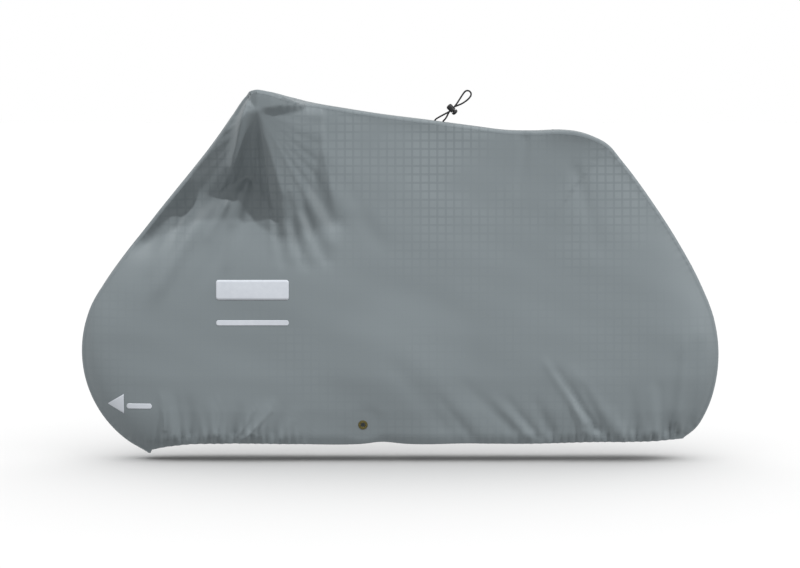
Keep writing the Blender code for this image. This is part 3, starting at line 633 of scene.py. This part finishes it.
# A line of places along the hem between its corners, at the given parts of its length in x.
def hemPlaces(first, last, parts):
    curve = smoothThrough(metres(hemRows), np.linspace(0.0, 1.0, hem["steps"]))
    x = first[0] + (last[0] - first[0]) * parts
    line = np.stack([x, np.interp(x, curve[:, 0], curve[:, 1])], axis=1)
    line[0], line[-1] = first, last
    return line


# A Coons patch between four lines of places: both ruled surfaces added up, less the
# bilinear one between the corners.
def coonsPatch(left, right, bottom, top, upParts, alongParts):
    a, b = alongParts[None, :, None], upParts[:, None, None]
    return ((1 - a) * left[:, None] + a * right[:, None]
            + (1 - b) * bottom[None] + b * top[None]
            - (1 - a) * (1 - b) * bottom[0] - a * (1 - b) * bottom[-1]
            - (1 - a) * b * top[0] - a * b * top[-1])


# Superellipse arcs from the seam to the patch at depth: out by sin(turn)^(2 / power) and
# down by radius (1 - cos(turn)^(2 / power)). The first row turns in by the allowance.
def seamBand(line, normal, radius, power, depth):
    turn = np.radians(90.0) * np.arange(cloth["bandSteps"])[None, :] / cloth["bandSteps"]
    out = np.sin(turn)**(2.0 / power[:, None])
    down = radius[:, None] * (1.0 - np.cos(turn)**(2.0 / power[:, None]))
    start = (line[:, 2] + seamGap / 2)[:, None]
    band = np.stack([line[:, 0, None] - normal[:, 0, None] * down,
                     start + (depth[:, None] - start) * out,
                     line[:, 1, None] - normal[:, 1, None] * down], axis=-1)
    outwards = np.stack([normal[:, 0], 0.0 * depth, normal[:, 1]], axis=1)[:, None]
    return np.concatenate([band[:, :1] - outwards * cloth["allowance"], band], axis=1)


# The hem's fold below rows of point numbers, the lowest first. At angles a from 0 to 180
# degrees its points are P - r (1 - cos a) n - r sin a z, with n the level part of the
# normal, and then copies of the rows above lie 2 r further in.
def foldHem(points, quads, uv, rows):
    r, turns = cloth["hemRadius"], cloth["hemTurn"]
    inwards = unit(pointNormals(points, quads)[rows[0]] * (-1.0, -1.0, 0.0)) * r
    made, places = [], []
    for angle in np.radians(180.0) * np.arange(1, turns + 1) / turns:
        made.append(points[rows[0]] + inwards * (1.0 - math.cos(angle))
                    - np.array([0.0, 0.0, r * math.sin(angle)]))
        places.append(uv[rows[0]] - np.array([0.0, r * angle]))
    for row in rows[1:]:
        made.append(points[row] + 2.0 * inwards)
        places.append(places[turns - 1] + uv[rows[0]] - uv[row])
    fresh = len(points) + np.arange(len(made) * len(rows[0])).reshape(len(made), -1)
    tunnel = np.concatenate([rows[0][None], fresh])
    return (np.concatenate([points] + made),
            np.concatenate([quads, gridQuads(tunnel)[:, ::-1]]),
            np.concatenate([uv] + places))


# A panel for the side at +Y: points, quads, places on the flat cloth, and the numbers of
# the points along the seam's and the hem's stitching. Its middle is a Coons patch between
# the hem and a line just inside the seam, the band joins it to the seam, and the hem is
# folded up inside.
def panelSurface():
    line, normal = seamFrame(seamParts())
    swell = clothDepth(line[:, 0], line[:, 1])
    bulge = np.clip((swell - line[:, 2] - edge["swell"]) / edge["bulgeSpan"], 0.0, 1.0)
    radius = edge["radius"] + edge["spread"] * bulge
    power = edge["power"] + (edge["fullPower"] - edge["power"]) * bulge
    inner = line[:, :2] - normal * radius[:, None]

    upParts, alongParts = partsOf(rowSteps), partsOf(columnSteps)
    up, along = len(upParts) - 1, len(alongParts) - 1
    left, top, right = inner[:up + 1], inner[up:up + along + 1], inner[up + along:][::-1]
    grid = coonsPatch(left, right, hemPlaces(left[0], right[0], alongParts), top, upParts,
                      alongParts)
    x, z = grid[..., 0], grid[..., 1]
    points = np.stack([x, clothDepth(x, z), z], axis=-1).reshape(-1, 3)
    uv = grid.reshape(-1, 2)
    index = np.arange(len(points)).reshape(up + 1, along + 1)
    border = np.concatenate([index[:, 0], index[-1, 1:], index[::-1, -1][1:]])

    band = seamBand(line, normal, radius, power, clothDepth(inner[:, 0], inner[:, 1]))
    whole = np.concatenate([band, points[border][:, None]], axis=1)
    walked = np.cumsum(np.linalg.norm(np.diff(whole, axis=1), axis=2)[:, ::-1], axis=1)
    bandUv = uv[border][:, None] + normal[:, None] * walked[:, ::-1, None]
    ladder = len(points) + np.arange(band[..., 0].size).reshape(len(band), -1)
    ladder = np.concatenate([ladder, border[:, None]], axis=1)
    points = np.concatenate([points, band.reshape(-1, 3)])
    uv = np.concatenate([uv, bandUv.reshape(-1, 2)])
    quads = np.concatenate([gridQuads(index), gridQuads(ladder)])

    rows = [np.concatenate([ladder[j, :-1], index[j], ladder[-1 - j, :-1][::-1]])
            for j in range(cloth["hemFold"] + 1)]
    return (*foldHem(points, quads, uv, rows), ladder[:, -1], rows[-1])


surface = panelSurface()
surfaceNormals = pointNormals(surface[0], surface[1])


# Turns arrays made for the side at +Y to the other side.
def sided(array, side):
    return array * (1.0, side, 1.0)


# The same for points of the cloth. The near horn is lifted by height * t^power, where t
# goes from 0 to 1 over its depth, and by less of it towards the front.
def sidedCloth(points, side):
    t = np.interp(points[:, 1], [hornRise["from"], hornRise["to"]], [0.0, 1.0])
    behind = np.interp(points[:, 0], [hornRise["noneX"], hornRise["fullX"]], [0.0, 1.0])
    lift = (hornRise["height"] if side < 0 else 0.0) * t**hornRise["power"] * behind
    return sided(points, side) + lift[:, None] * (0.0, 0.0, 1.0)


def eyeletCentre(side):
    return sided(np.array([eyelet["x"], eyeletDepth, eyelet["z"]]), side)


# The profile of a rod, reach long to either side of its middle.
def rodRows(radius, reach):
    return [(0.0, -reach), (radius, -reach), (radius, reach), (0.0, reach)]


def makePanel(name, side):
    points, quads, uv = surface[:3]
    quads = quads if side > 0 else quads[:, ::-1]
    panel = makeSheet(name, sidedCloth(points, side), quads, uv, cloth["thickness"])
    rod = rodRows(eyelet["barrel"] + eyelet["gap"], eyelet["cut"])
    cutOut(panel, [turned(name + "_cutter", rod, eyelet["steps"], eyeletCentre(side),
                          sided(eyeletAxis, side))])
    return panel


panelNear = makePanel("near_panel_cloth", -1)
panelFar = makePanel("far_panel_cloth", 1)
print("panels made")


# The strip: across its width it crowns as 1 - share^2 and puckers along the seams as
# share^4, and both edges turn in by the seam allowance.
def makeStrip():
    line, normal = seamFrame(seamParts())
    share = np.linspace(-1.0, 1.0, cloth["stripSteps"] + 1)[None, :]
    half = (line[:, 2] - seamGap / 2)[:, None]
    along = lengthAlong(line[:, :2])
    waves = pucker["stripShare"] * pucker["height"] * wanderingWave(along, pucker)
    lift = crownHeight * (1.0 - share**2) + waves[:, None] * share**4
    top = np.stack([line[:, 0, None] + normal[:, 0, None] * lift, half * share,
                    line[:, 1, None] + normal[:, 1, None] * lift], axis=-1)
    drop = np.stack([normal[:, 0], 0 * along, normal[:, 1]], axis=1)[:, None]
    drop = drop * cloth["allowance"]
    grid = np.concatenate([top[:, :1] - drop, top, top[:, -1:] - drop], axis=1)
    index = np.arange(grid.shape[0] * grid.shape[1]).reshape(grid.shape[0], -1)
    uv = np.stack(np.broadcast_arrays(lengthAlong(grid[0])[None, :], along[:, None]), axis=-1)
    return makeSheet("top_strip_cloth", grid.reshape(-1, 3), gridQuads(index),
                     uv.reshape(-1, 2), cloth["thickness"])


topStrip = makeStrip()
print("strip made")

# ---- stitching

stitch = {"pitch": 0.0046, "length": 0.0033, "half": 0.00035, "height": 0.00035}


# Stitches at even steps along a line of points with normals. Each is a flat diamond of
# six points: its two ends, both sides, and a little above and below its middle.
def stitchPoints(line, normals):
    both = evenSteps(np.concatenate([line, normals], axis=1), stitch["pitch"])
    middle, up = both[1:-1, :3], unit(both[1:-1, 3:])
    ahead = unit(both[2:, :3] - both[:-2, :3])
    side = np.cross(up, ahead)
    reach = ahead * stitch["length"] / 2
    return np.stack([middle - reach, middle + side * stitch["half"],
                     middle + up * stitch["height"], middle - side * stitch["half"],
                     middle - up * stitch["height"], middle + reach], axis=1)


# All stitches of a panel in one mesh, eight triangles each.
def makeStitches(name, groups):
    points = np.concatenate(groups)
    corner = np.array([(0, 2, 1), (0, 3, 2), (0, 4, 3), (0, 1, 4),
                       (5, 1, 2), (5, 2, 3), (5, 3, 4), (5, 4, 1)])
    faces = (np.arange(len(points))[:, None, None] * 6 + corner[None]).reshape(-1, 3)
    return makePiece(name, points.reshape(-1, 3), faces)


# One row along the seam and one along the top of the hem's fold.
def panelStitches(name, side):
    points = surface[0]
    groups = [stitchPoints(sidedCloth(points[line], side), sided(surfaceNormals[line], side))
              for line in surface[3:]]
    return makeStitches(name, groups)


stitchesNear = panelStitches("near_stitches", -1)
stitchesFar = panelStitches("far_stitches", 1)
print("stitches made")

# ---- reflective film on the near panel

film = {"lift": 0.0006, "thickness": 0.0002, "step": 0.004, "round": 0.006, "rows": 8,
        "blunt": 0.15}
# Bars: x and z of the middle, width and height
barRows = [
    ("reflective_bar_wide", -0.024, -0.566, 0.216, 0.060),
    ("reflective_bar_narrow", -0.024, -0.664, 0.216, 0.016),
    ("reflective_bar_front", -0.363, -0.914, 0.076, 0.016),
]
arrow = {"tipX": -0.459, "baseX": -0.409, "z": -0.908, "half": 0.030, "blunt": 0.04,
         "columns": 15, "rows": 12}


# A film patch over places x, z of the side view, lifted off the near panel.
def filmPatch(name, x, z):
    points = np.stack([x, -(clothDepth(x, z) + film["lift"]), z], axis=-1)
    quads = gridQuads(np.arange(x.size).reshape(x.shape))
    return makeSheet(name, points.reshape(-1, 3), quads,
                     np.stack([x, z], axis=-1).reshape(-1, 2), film["thickness"])


# A bar whose height follows a quarter circle at both ends, half - r + sqrt(r^2 - into^2),
# but leaves its ends a little blunt.
def makeBar(name, middleX, middleZ, wide, high):
    half = high / 2
    radius = min(film["round"], half)
    u = np.linspace(-1.0, 1.0, int(wide / film["step"]) + 1)[None, :] * wide / 2
    v = np.linspace(-1.0, 1.0, film["rows"] + 1)[:, None]
    into = np.clip(np.abs(u) - (wide / 2 - radius), 0.0, radius)
    least = film["blunt"] * radius
    tall = half - radius + np.sqrt(np.maximum(radius**2 - into**2, least**2))
    return filmPatch(name, *np.broadcast_arrays(middleX + u, middleZ + v * tall))


# A triangle whose half height grows as its part of the way from the tip, which is blunt.
def makeArrow(name):
    part = np.linspace(arrow["blunt"], 1.0, arrow["columns"] + 1)[None, :]
    v = np.linspace(-1.0, 1.0, arrow["rows"] + 1)[:, None]
    x = arrow["tipX"] + (arrow["baseX"] - arrow["tipX"]) * part
    return filmPatch(name, *np.broadcast_arrays(x, arrow["z"] + v * arrow["half"] * part))


films = [makeBar(*row) for row in barRows] + [makeArrow("reflective_arrow")]
print("film made")

# ---- eyelets and cord lock

# The eyelet's flange is a low roll: radius and height of its half profile in millimetres.
rollRows = [
    (6.5, 0), (6.5, 0.9), (6.8, 1.6), (7.6, 2.15), (8.8, 2.4), (10.2, 2.32), (11.8, 2),
    (13.1, 1.5), (13.8, 1.2), (14, 0.9), (13.8, 0.7),
]


# Both flanges and the barrel between them in one ring, sunk a little into the cloth.
def makeEyelet(name, side):
    roll = np.array(metres(rollRows))
    profile = np.concatenate([roll[::-1] * (1.0, -1.0), roll]) - (0.0, eyelet["sink"])
    return turned(name, profile, eyelet["steps"], eyeletCentre(side), sided(eyeletAxis, side))


eyelets = [makeEyelet("near_eyelet_ring", -1), makeEyelet("far_eyelet_ring", 1)]

cordLock = {"x": 0.5699, "z": -0.0343, "turn": 46.0, "cordHole": 0.0029,
            "holePlace": -0.0016, "apart": 0.0034, "pocket": 0.0048,
            "pocketPlace": 0.0020, "gap": 0.0003, "travel": 0.0014, "cut": 0.014,
            "steps": 48}
# Millimetres: radius of both halves and the place along the lock's axis
bodyRows = [
    (0, -17.8), (2.6, -17.75), (4.7, -17.5), (6.5, -16.9), (7.8, -16), (8.7, -14.7),
    (9.2, -13.2), (9.45, -11.6), (9.5, -10), (9.4, -7.8), (9, -5.5), (8.7, -3.2), (8.6, -1),
    (8.6, 1.4), (8.7, 3.5), (8.6, 4.7), (8.3, 5.2),
]
buttonRows = [
    (8.3, 6.9), (9, 7.4), (9.3, 8.6), (9.4, 10.2), (9.3, 11.8), (8.7, 13.5), (7.6, 14.8),
    (6.1, 15.7), (4.5, 16.2), (2.3, 16.5), (0, 16.6),
]


# The barrel with a pocket for the button's stem and a hole for each strand of the cord, and
# the button out of it by its travel.
def makeLock():
    steps = cordLock["steps"]
    centre = np.array([cordLock["x"], 0.0, cordLock["z"]])
    lean = math.radians(cordLock["turn"])
    axis = np.array([math.cos(lean), 0.0, -math.sin(lean)])
    along = np.array([math.sin(lean), 0.0, math.cos(lean)])
    pocket, low = cordLock["pocket"], cordLock["pocketPlace"]
    outside, dome = metres(bodyRows), metres(buttonRows)
    inside = [(pocket, outside[-1][1]), (pocket, low), (0.0, low)]
    body = turned("lock_barrel", outside + inside, steps, centre, axis)
    rod = rodRows(cordLock["cordHole"], cordLock["cut"])
    places = [centre + axis * cordLock["holePlace"] + (0.0, side * cordLock["apart"], 0.0)
              for side in (-1, 1)]
    cutOut(body, [turned("hole_cutter", rod, steps // 2, place, along) for place in places])
    stem = pocket - cordLock["gap"]
    stemEnd = low + cordLock["gap"] + cordLock["travel"]
    stemRows = [(0.0, stemEnd), (stem, stemEnd), (stem, dome[0][1])]
    return body, turned("lock_push_button", stemRows + dome, steps, centre, axis)


lockBarrel, lockButton = makeLock()
print("eyelets and lock made")

# ---- materials

# Sizes of patterns are in millimetres, and a pattern of that size has 1000 / size cells in a
# metre. A grain too fine to show at this distance is drawn a few times coarser.

# Coated ripstop polyester: woven with a pair of heavier threads at each line of its grid
# and coated with polyurethane, so it is satin, with a faint grid 25 mm apart. How strongly
# the grid shows is painted sheen: its darker lines and lighter squares stand in for glints of
# the weave, so they show in patches, on the flat cloth near the middle plane, and less on the
# shaded horn and low down. patches, depths and heights give the values of the noise, depth
# or height between which its weight changes, and the weights there. pair, lineWide and
# squareSoft are parts of the pitch.
ripstop = {"colour": "#848d91", "line": "#788185", "square": "#939ca0", "pitch": 25.0,
           "pair": 0.075, "lineWide": 0.040, "squareSoft": 0.09, "squareShow": 0.55,
           "patch": 384.6, "patches": (0.46, 0.64, 0.06, 0.85),
           "depths": (0.14, 0.22, 1.0, 0.0), "heights": (-0.52, -0.30, 0.25, 1.0),
           "grain": 1.111, "roughness": (0.47, 0.58), "specular": 0.40, "sheen": 0.10,
           "bump": 0.25, "relief": 0.0003, "strip": "#7d868a"}


def clothMaterial(name, colour):
    material, tree, shader = newMaterial(name)
    place = addNode(tree, "UVMap", uv_map="cutPlaces")
    cells = addNode(tree, "VectorMath", {0: place, 3: 1000.0 / ripstop["pitch"]},
                    operation="SCALE")
    cells = addNode(tree, "SeparateXYZ", {0: cells}, out=None)
    lines, squares = [], []
    for axis in (0, 1):
        swing = addNode(tree, "Math", {0: cells[axis], 1: 0.5}, operation="PINGPONG")
        off = addNode(tree, "Math", {0: swing, 1: ripstop["pair"]}, operation="SUBTRACT")
        off = addNode(tree, "Math", {0: off}, operation="ABSOLUTE")
        lines.append(addNode(tree, "MapRange", {
            "Value": off, "From Max": ripstop["lineWide"], "To Min": 1.0, "To Max": 0.0},
            interpolation_type="SMOOTHSTEP"))
        squares.append(addNode(tree, "MapRange", {
            "Value": swing, "From Min": ripstop["pair"],
            "From Max": ripstop["pair"] + ripstop["squareSoft"]},
            interpolation_type="SMOOTHSTEP"))
    line = addNode(tree, "Math", {0: lines[0], 1: lines[1]}, operation="MAXIMUM")
    patch = addNode(tree, "TexNoise", {"Vector": place, "Scale": 1000.0 / ripstop["patch"],
                                       "Detail": 3.0, "Roughness": 0.6})
    height = addNode(tree, "SeparateXYZ", {0: place}, out=1)
    depth = addNode(tree, "TexCoord", out="Object")
    depth = addNode(tree, "SeparateXYZ", {0: depth}, out=1)
    depth = addNode(tree, "Math", {0: depth}, operation="ABSOLUTE")
    # Painted sheen: these weights make the grid's contrast follow where the weave would catch
    # light, by a noise, the depth and the height
    sheenWeights = []
    for value, key in ((patch, "patches"), (depth, "depths"), (height, "heights")):
        low, high, first, last = ripstop[key]
        sheenWeights.append(addNode(tree, "MapRange", {
            "Value": value, "From Min": low, "From Max": high, "To Min": first,
            "To Max": last}))
    shares = []
    for factors in ([line] + sheenWeights, squares + sheenWeights + [ripstop["squareShow"]]):
        share = factors[0]
        for factor in factors[1:]:
            share = addNode(tree, "Math", {0: share, 1: factor}, operation="MULTIPLY")
        shares.append(share)
    grain = addNode(tree, "TexNoise", {"Vector": place, "Scale": 1000.0 / ripstop["grain"],
                                       "Detail": 1.0})
    height = addNode(tree, "Math", {0: line, 1: grain}, operation="ADD")
    shader.inputs["Sheen Weight"].default_value = ripstop["sheen"]
    shader.inputs["Specular IOR Level"].default_value = ripstop["specular"]
    finishMaterial(tree, shader, dict(ripstop, colour=colour),
                   [(shares[1], ripstop["square"]), (shares[0], ripstop["line"])], grain,
                   height)
    return material


# Bonded polyester thread: twisted every 0.4 mm, so its tone and its slight gloss change
# along each stitch.
thread = {"colour": "#7b8488", "second": "#8f989c", "roughness": (0.35, 0.55), "grain": 0.4,
          "detail": 2.0}
# Brass, pressed and lightly tarnished: dull gold with brown, rougher spots 4 mm apart.
brass = {"colour": "#7c7348", "second": "#353020", "roughness": (0.22, 0.47),
         "grain": 3.846, "detail": 4.0, "metallic": 1.0, "bump": 0.1, "relief": 0.0002}
# Acetal plastic, moulded with a fine spark texture: black, with a soft, broken gloss.
acetal = {"colour": "#0e0e10", "second": "#18181b", "roughness": (0.34, 0.54),
          "grain": 0.5556, "detail": 2.0, "bump": 0.2, "relief": 0.0001}


# A finish whose tone, gloss and bump, if it has one, all follow one noise.
def grainyMaterial(name, look):
    material, tree, shader = newMaterial(name)
    place = addNode(tree, "TexCoord", out="Object")
    grain = addNode(tree, "TexNoise", {"Vector": place, "Scale": 1000.0 / look["grain"],
                                       "Detail": look["detail"]})
    shader.inputs["Metallic"].default_value = look.get("metallic", 0.0)
    finishMaterial(tree, shader, look, [(grain, look["second"])], grain,
                   grain if "bump" in look else None)
    return material


# Reflective transfer film: glass beads in pale grey resin, satin, a little worn in places.
reflective = {"colour": "#e4e9f0", "second": "#d3d9e2", "bead": 0.3846, "wear": 16.67,
              "roughness": (0.30, 0.48), "bump": 0.15, "relief": 0.0001}


def filmMaterial():
    material, tree, shader = newMaterial("reflective transfer film")
    place = addNode(tree, "UVMap", uv_map="cutPlaces")
    bead = addNode(tree, "TexVoronoi", {"Vector": place,
                                        "Scale": 1000.0 / reflective["bead"]},
                   voronoi_dimensions="2D")
    worn = addNode(tree, "TexNoise", {"Vector": place, "Scale": 1000.0 / reflective["wear"],
                                      "Detail": 3.0})
    finishMaterial(tree, shader, reflective, [(worn, reflective["second"])], worn, bead)
    return material


# Elastic cord: rubber strands in a black braided polyester sleeve, matte, with its strands
# at 45 degrees both ways. A wave texture repeats every 315 / scale millimetres.
braid = {"colour": "#0b0b0c", "second": "#1f1e21", "strand": 1.6, "wave": 315.0,
         "lean": 45.0, "roughness": (0.8, 0.6), "bump": 0.5, "relief": 0.0003}


def braidMaterial():
    material, tree, shader = newMaterial("braided polyester sleeve")
    place = addNode(tree, "UVMap", uv_map="cutPlaces")
    waves = []
    for lean in (-1.0, 1.0):
        across = addNode(tree, "Mapping", {"Vector": place, "Rotation": (
            0.0, 0.0, math.radians(braid["lean"]) * lean)})
        waves.append(addNode(tree, "TexWave", {
            "Vector": across, "Scale": braid["wave"] / braid["strand"]},
            out="Fac", wave_type="BANDS"))
    height = addNode(tree, "Math", {0: waves[0], 1: waves[1]}, operation="MAXIMUM")
    finishMaterial(tree, shader, braid, [(height, braid["second"])], height, height)
    return material


def dress(material, *pieces):
    for piece in pieces:
        piece.data.materials.clear()
        piece.data.materials.append(material)


dress(clothMaterial("coated ripstop polyester", ripstop["colour"]), panelNear, panelFar)
dress(clothMaterial("coated ripstop strip", ripstop["strip"]), topStrip)
dress(grainyMaterial("bonded polyester thread", thread), stitchesNear, stitchesFar)
dress(filmMaterial(), *films)
dress(grainyMaterial("pressed brass", brass), *eyelets)
dress(braidMaterial(), elasticLoop)
dress(grainyMaterial("moulded acetal", acetal), lockBarrel, lockButton)
print("materials made")

# ---- floor, light and background

studio = {"floorZ": -1.084, "floorSize": 60.0, "floor": "#d6d6d6", "floorRough": 0.9,
          "ambient": 0.42, "shine": 0.85}
# Direction towards each lamp, its strength, the angle it fills, and what it lights. The
# floor has a wide lamp of its own, so that the shadow on it is soft and lies below.
lightRows = [
    ((-0.34, -0.44, 0.83), 1.33, 3.0, "cover"),
    ((0.60, -0.43, 0.67), 1.31, 3.0, "cover"),
    ((0.93, -0.20, 0.30), 0.24, 20.0, "cover"),
    ((0.12, 0.15, 0.98), 3.60, 130.0, "floor"),
]


def makeStudio():
    half, low = studio["floorSize"] / 2, studio["floorZ"]
    corners = [(x * half, y * half, low) for x, y in ((-1, -1), (1, -1), (1, 1), (-1, 1))]
    floor = makePiece("floor", corners, [(0, 1, 2, 3)])
    material, tree, shader = newMaterial("matte paper floor")
    shader.inputs["Base Color"].default_value = colourOf(studio["floor"])
    shader.inputs["Roughness"].default_value = studio["floorRough"]
    shader.inputs["Specular IOR Level"].default_value = 0.0
    dress(material, floor)
    floor.visible_diffuse = False  # its bounce would wash out the cloth's own shadows
    floor.visible_glossy = False
    lit = bpy.data.collections.new("floor_only")
    lit.objects.link(floor)
    unlit = bpy.data.collections.new("all_but_floor")
    unlit.objects.link(floor)
    unlit.collection_objects[0].light_linking.link_state = "EXCLUDE"
    for number, (towards, strength, angle, target) in enumerate(lightRows):
        data = bpy.data.lights.new("light_%d" % number, "SUN")
        data.energy, data.angle = strength, math.radians(angle)
        light = bpy.data.objects.new("light_%d" % number, data)
        bpy.context.scene.collection.objects.link(light)
        tilt = math.atan2(math.hypot(towards[0], towards[1]), towards[2])
        light.rotation_euler = (tilt, 0.0, math.atan2(towards[1], towards[0]) + math.pi / 2)
        light.light_linking.receiver_collection = lit if target == "floor" else unlit
    world = bpy.data.worlds.new("studio")
    bpy.context.scene.world = world
    world.use_nodes = True
    tree = world.node_tree
    tree.nodes.clear()
    # the background is pure white where the camera sees it, and lights less than that
    seen, glow, shine = [
        addNode(tree, "Background", {0: (1.0, 1.0, 1.0, 1.0), 1: strength})
        for strength in (1.0, studio["ambient"], studio["shine"])]
    ray = addNode(tree, "LightPath", out=None)
    mix = addNode(tree, "MixShader", {0: ray["Is Glossy Ray"], 1: glow, 2: shine})
    mix = addNode(tree, "MixShader", {0: ray["Is Camera Ray"], 1: mix, 2: seen})
    addNode(tree, "OutputWorld", {0: mix}, out=None)
    scene = bpy.context.scene
    scene.view_settings.view_transform = "Standard"
    scene.view_settings.look = "None"
    scene.cycles.use_denoising = True


makeStudio()
print("studio made")

# ---- each piece hangs on its body, and the solid it stands for is hidden

for piece, node, word in ((panelNear, "side_panel_near", "panel_cloth"),
                          (panelFar, "side_panel_far", "panel_cloth"),
                          (topStrip, "top_strip", "strip_cloth"),
                          (eyelets[0], "eyelet_near", "eyelet_brass"),
                          (eyelets[1], "eyelet_far", "eyelet_brass"),
                          (elasticLoop, "elastic_cord", "cord_cover"),
                          (lockBarrel, "cord_lock_body", "lock_plastic")):
    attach(piece, "cover")
    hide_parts(node)
for piece in [stitchesNear, stitchesFar] + films:
    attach(piece, "cover")
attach(lockButton, "lock_button")
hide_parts("cord_lock_button")
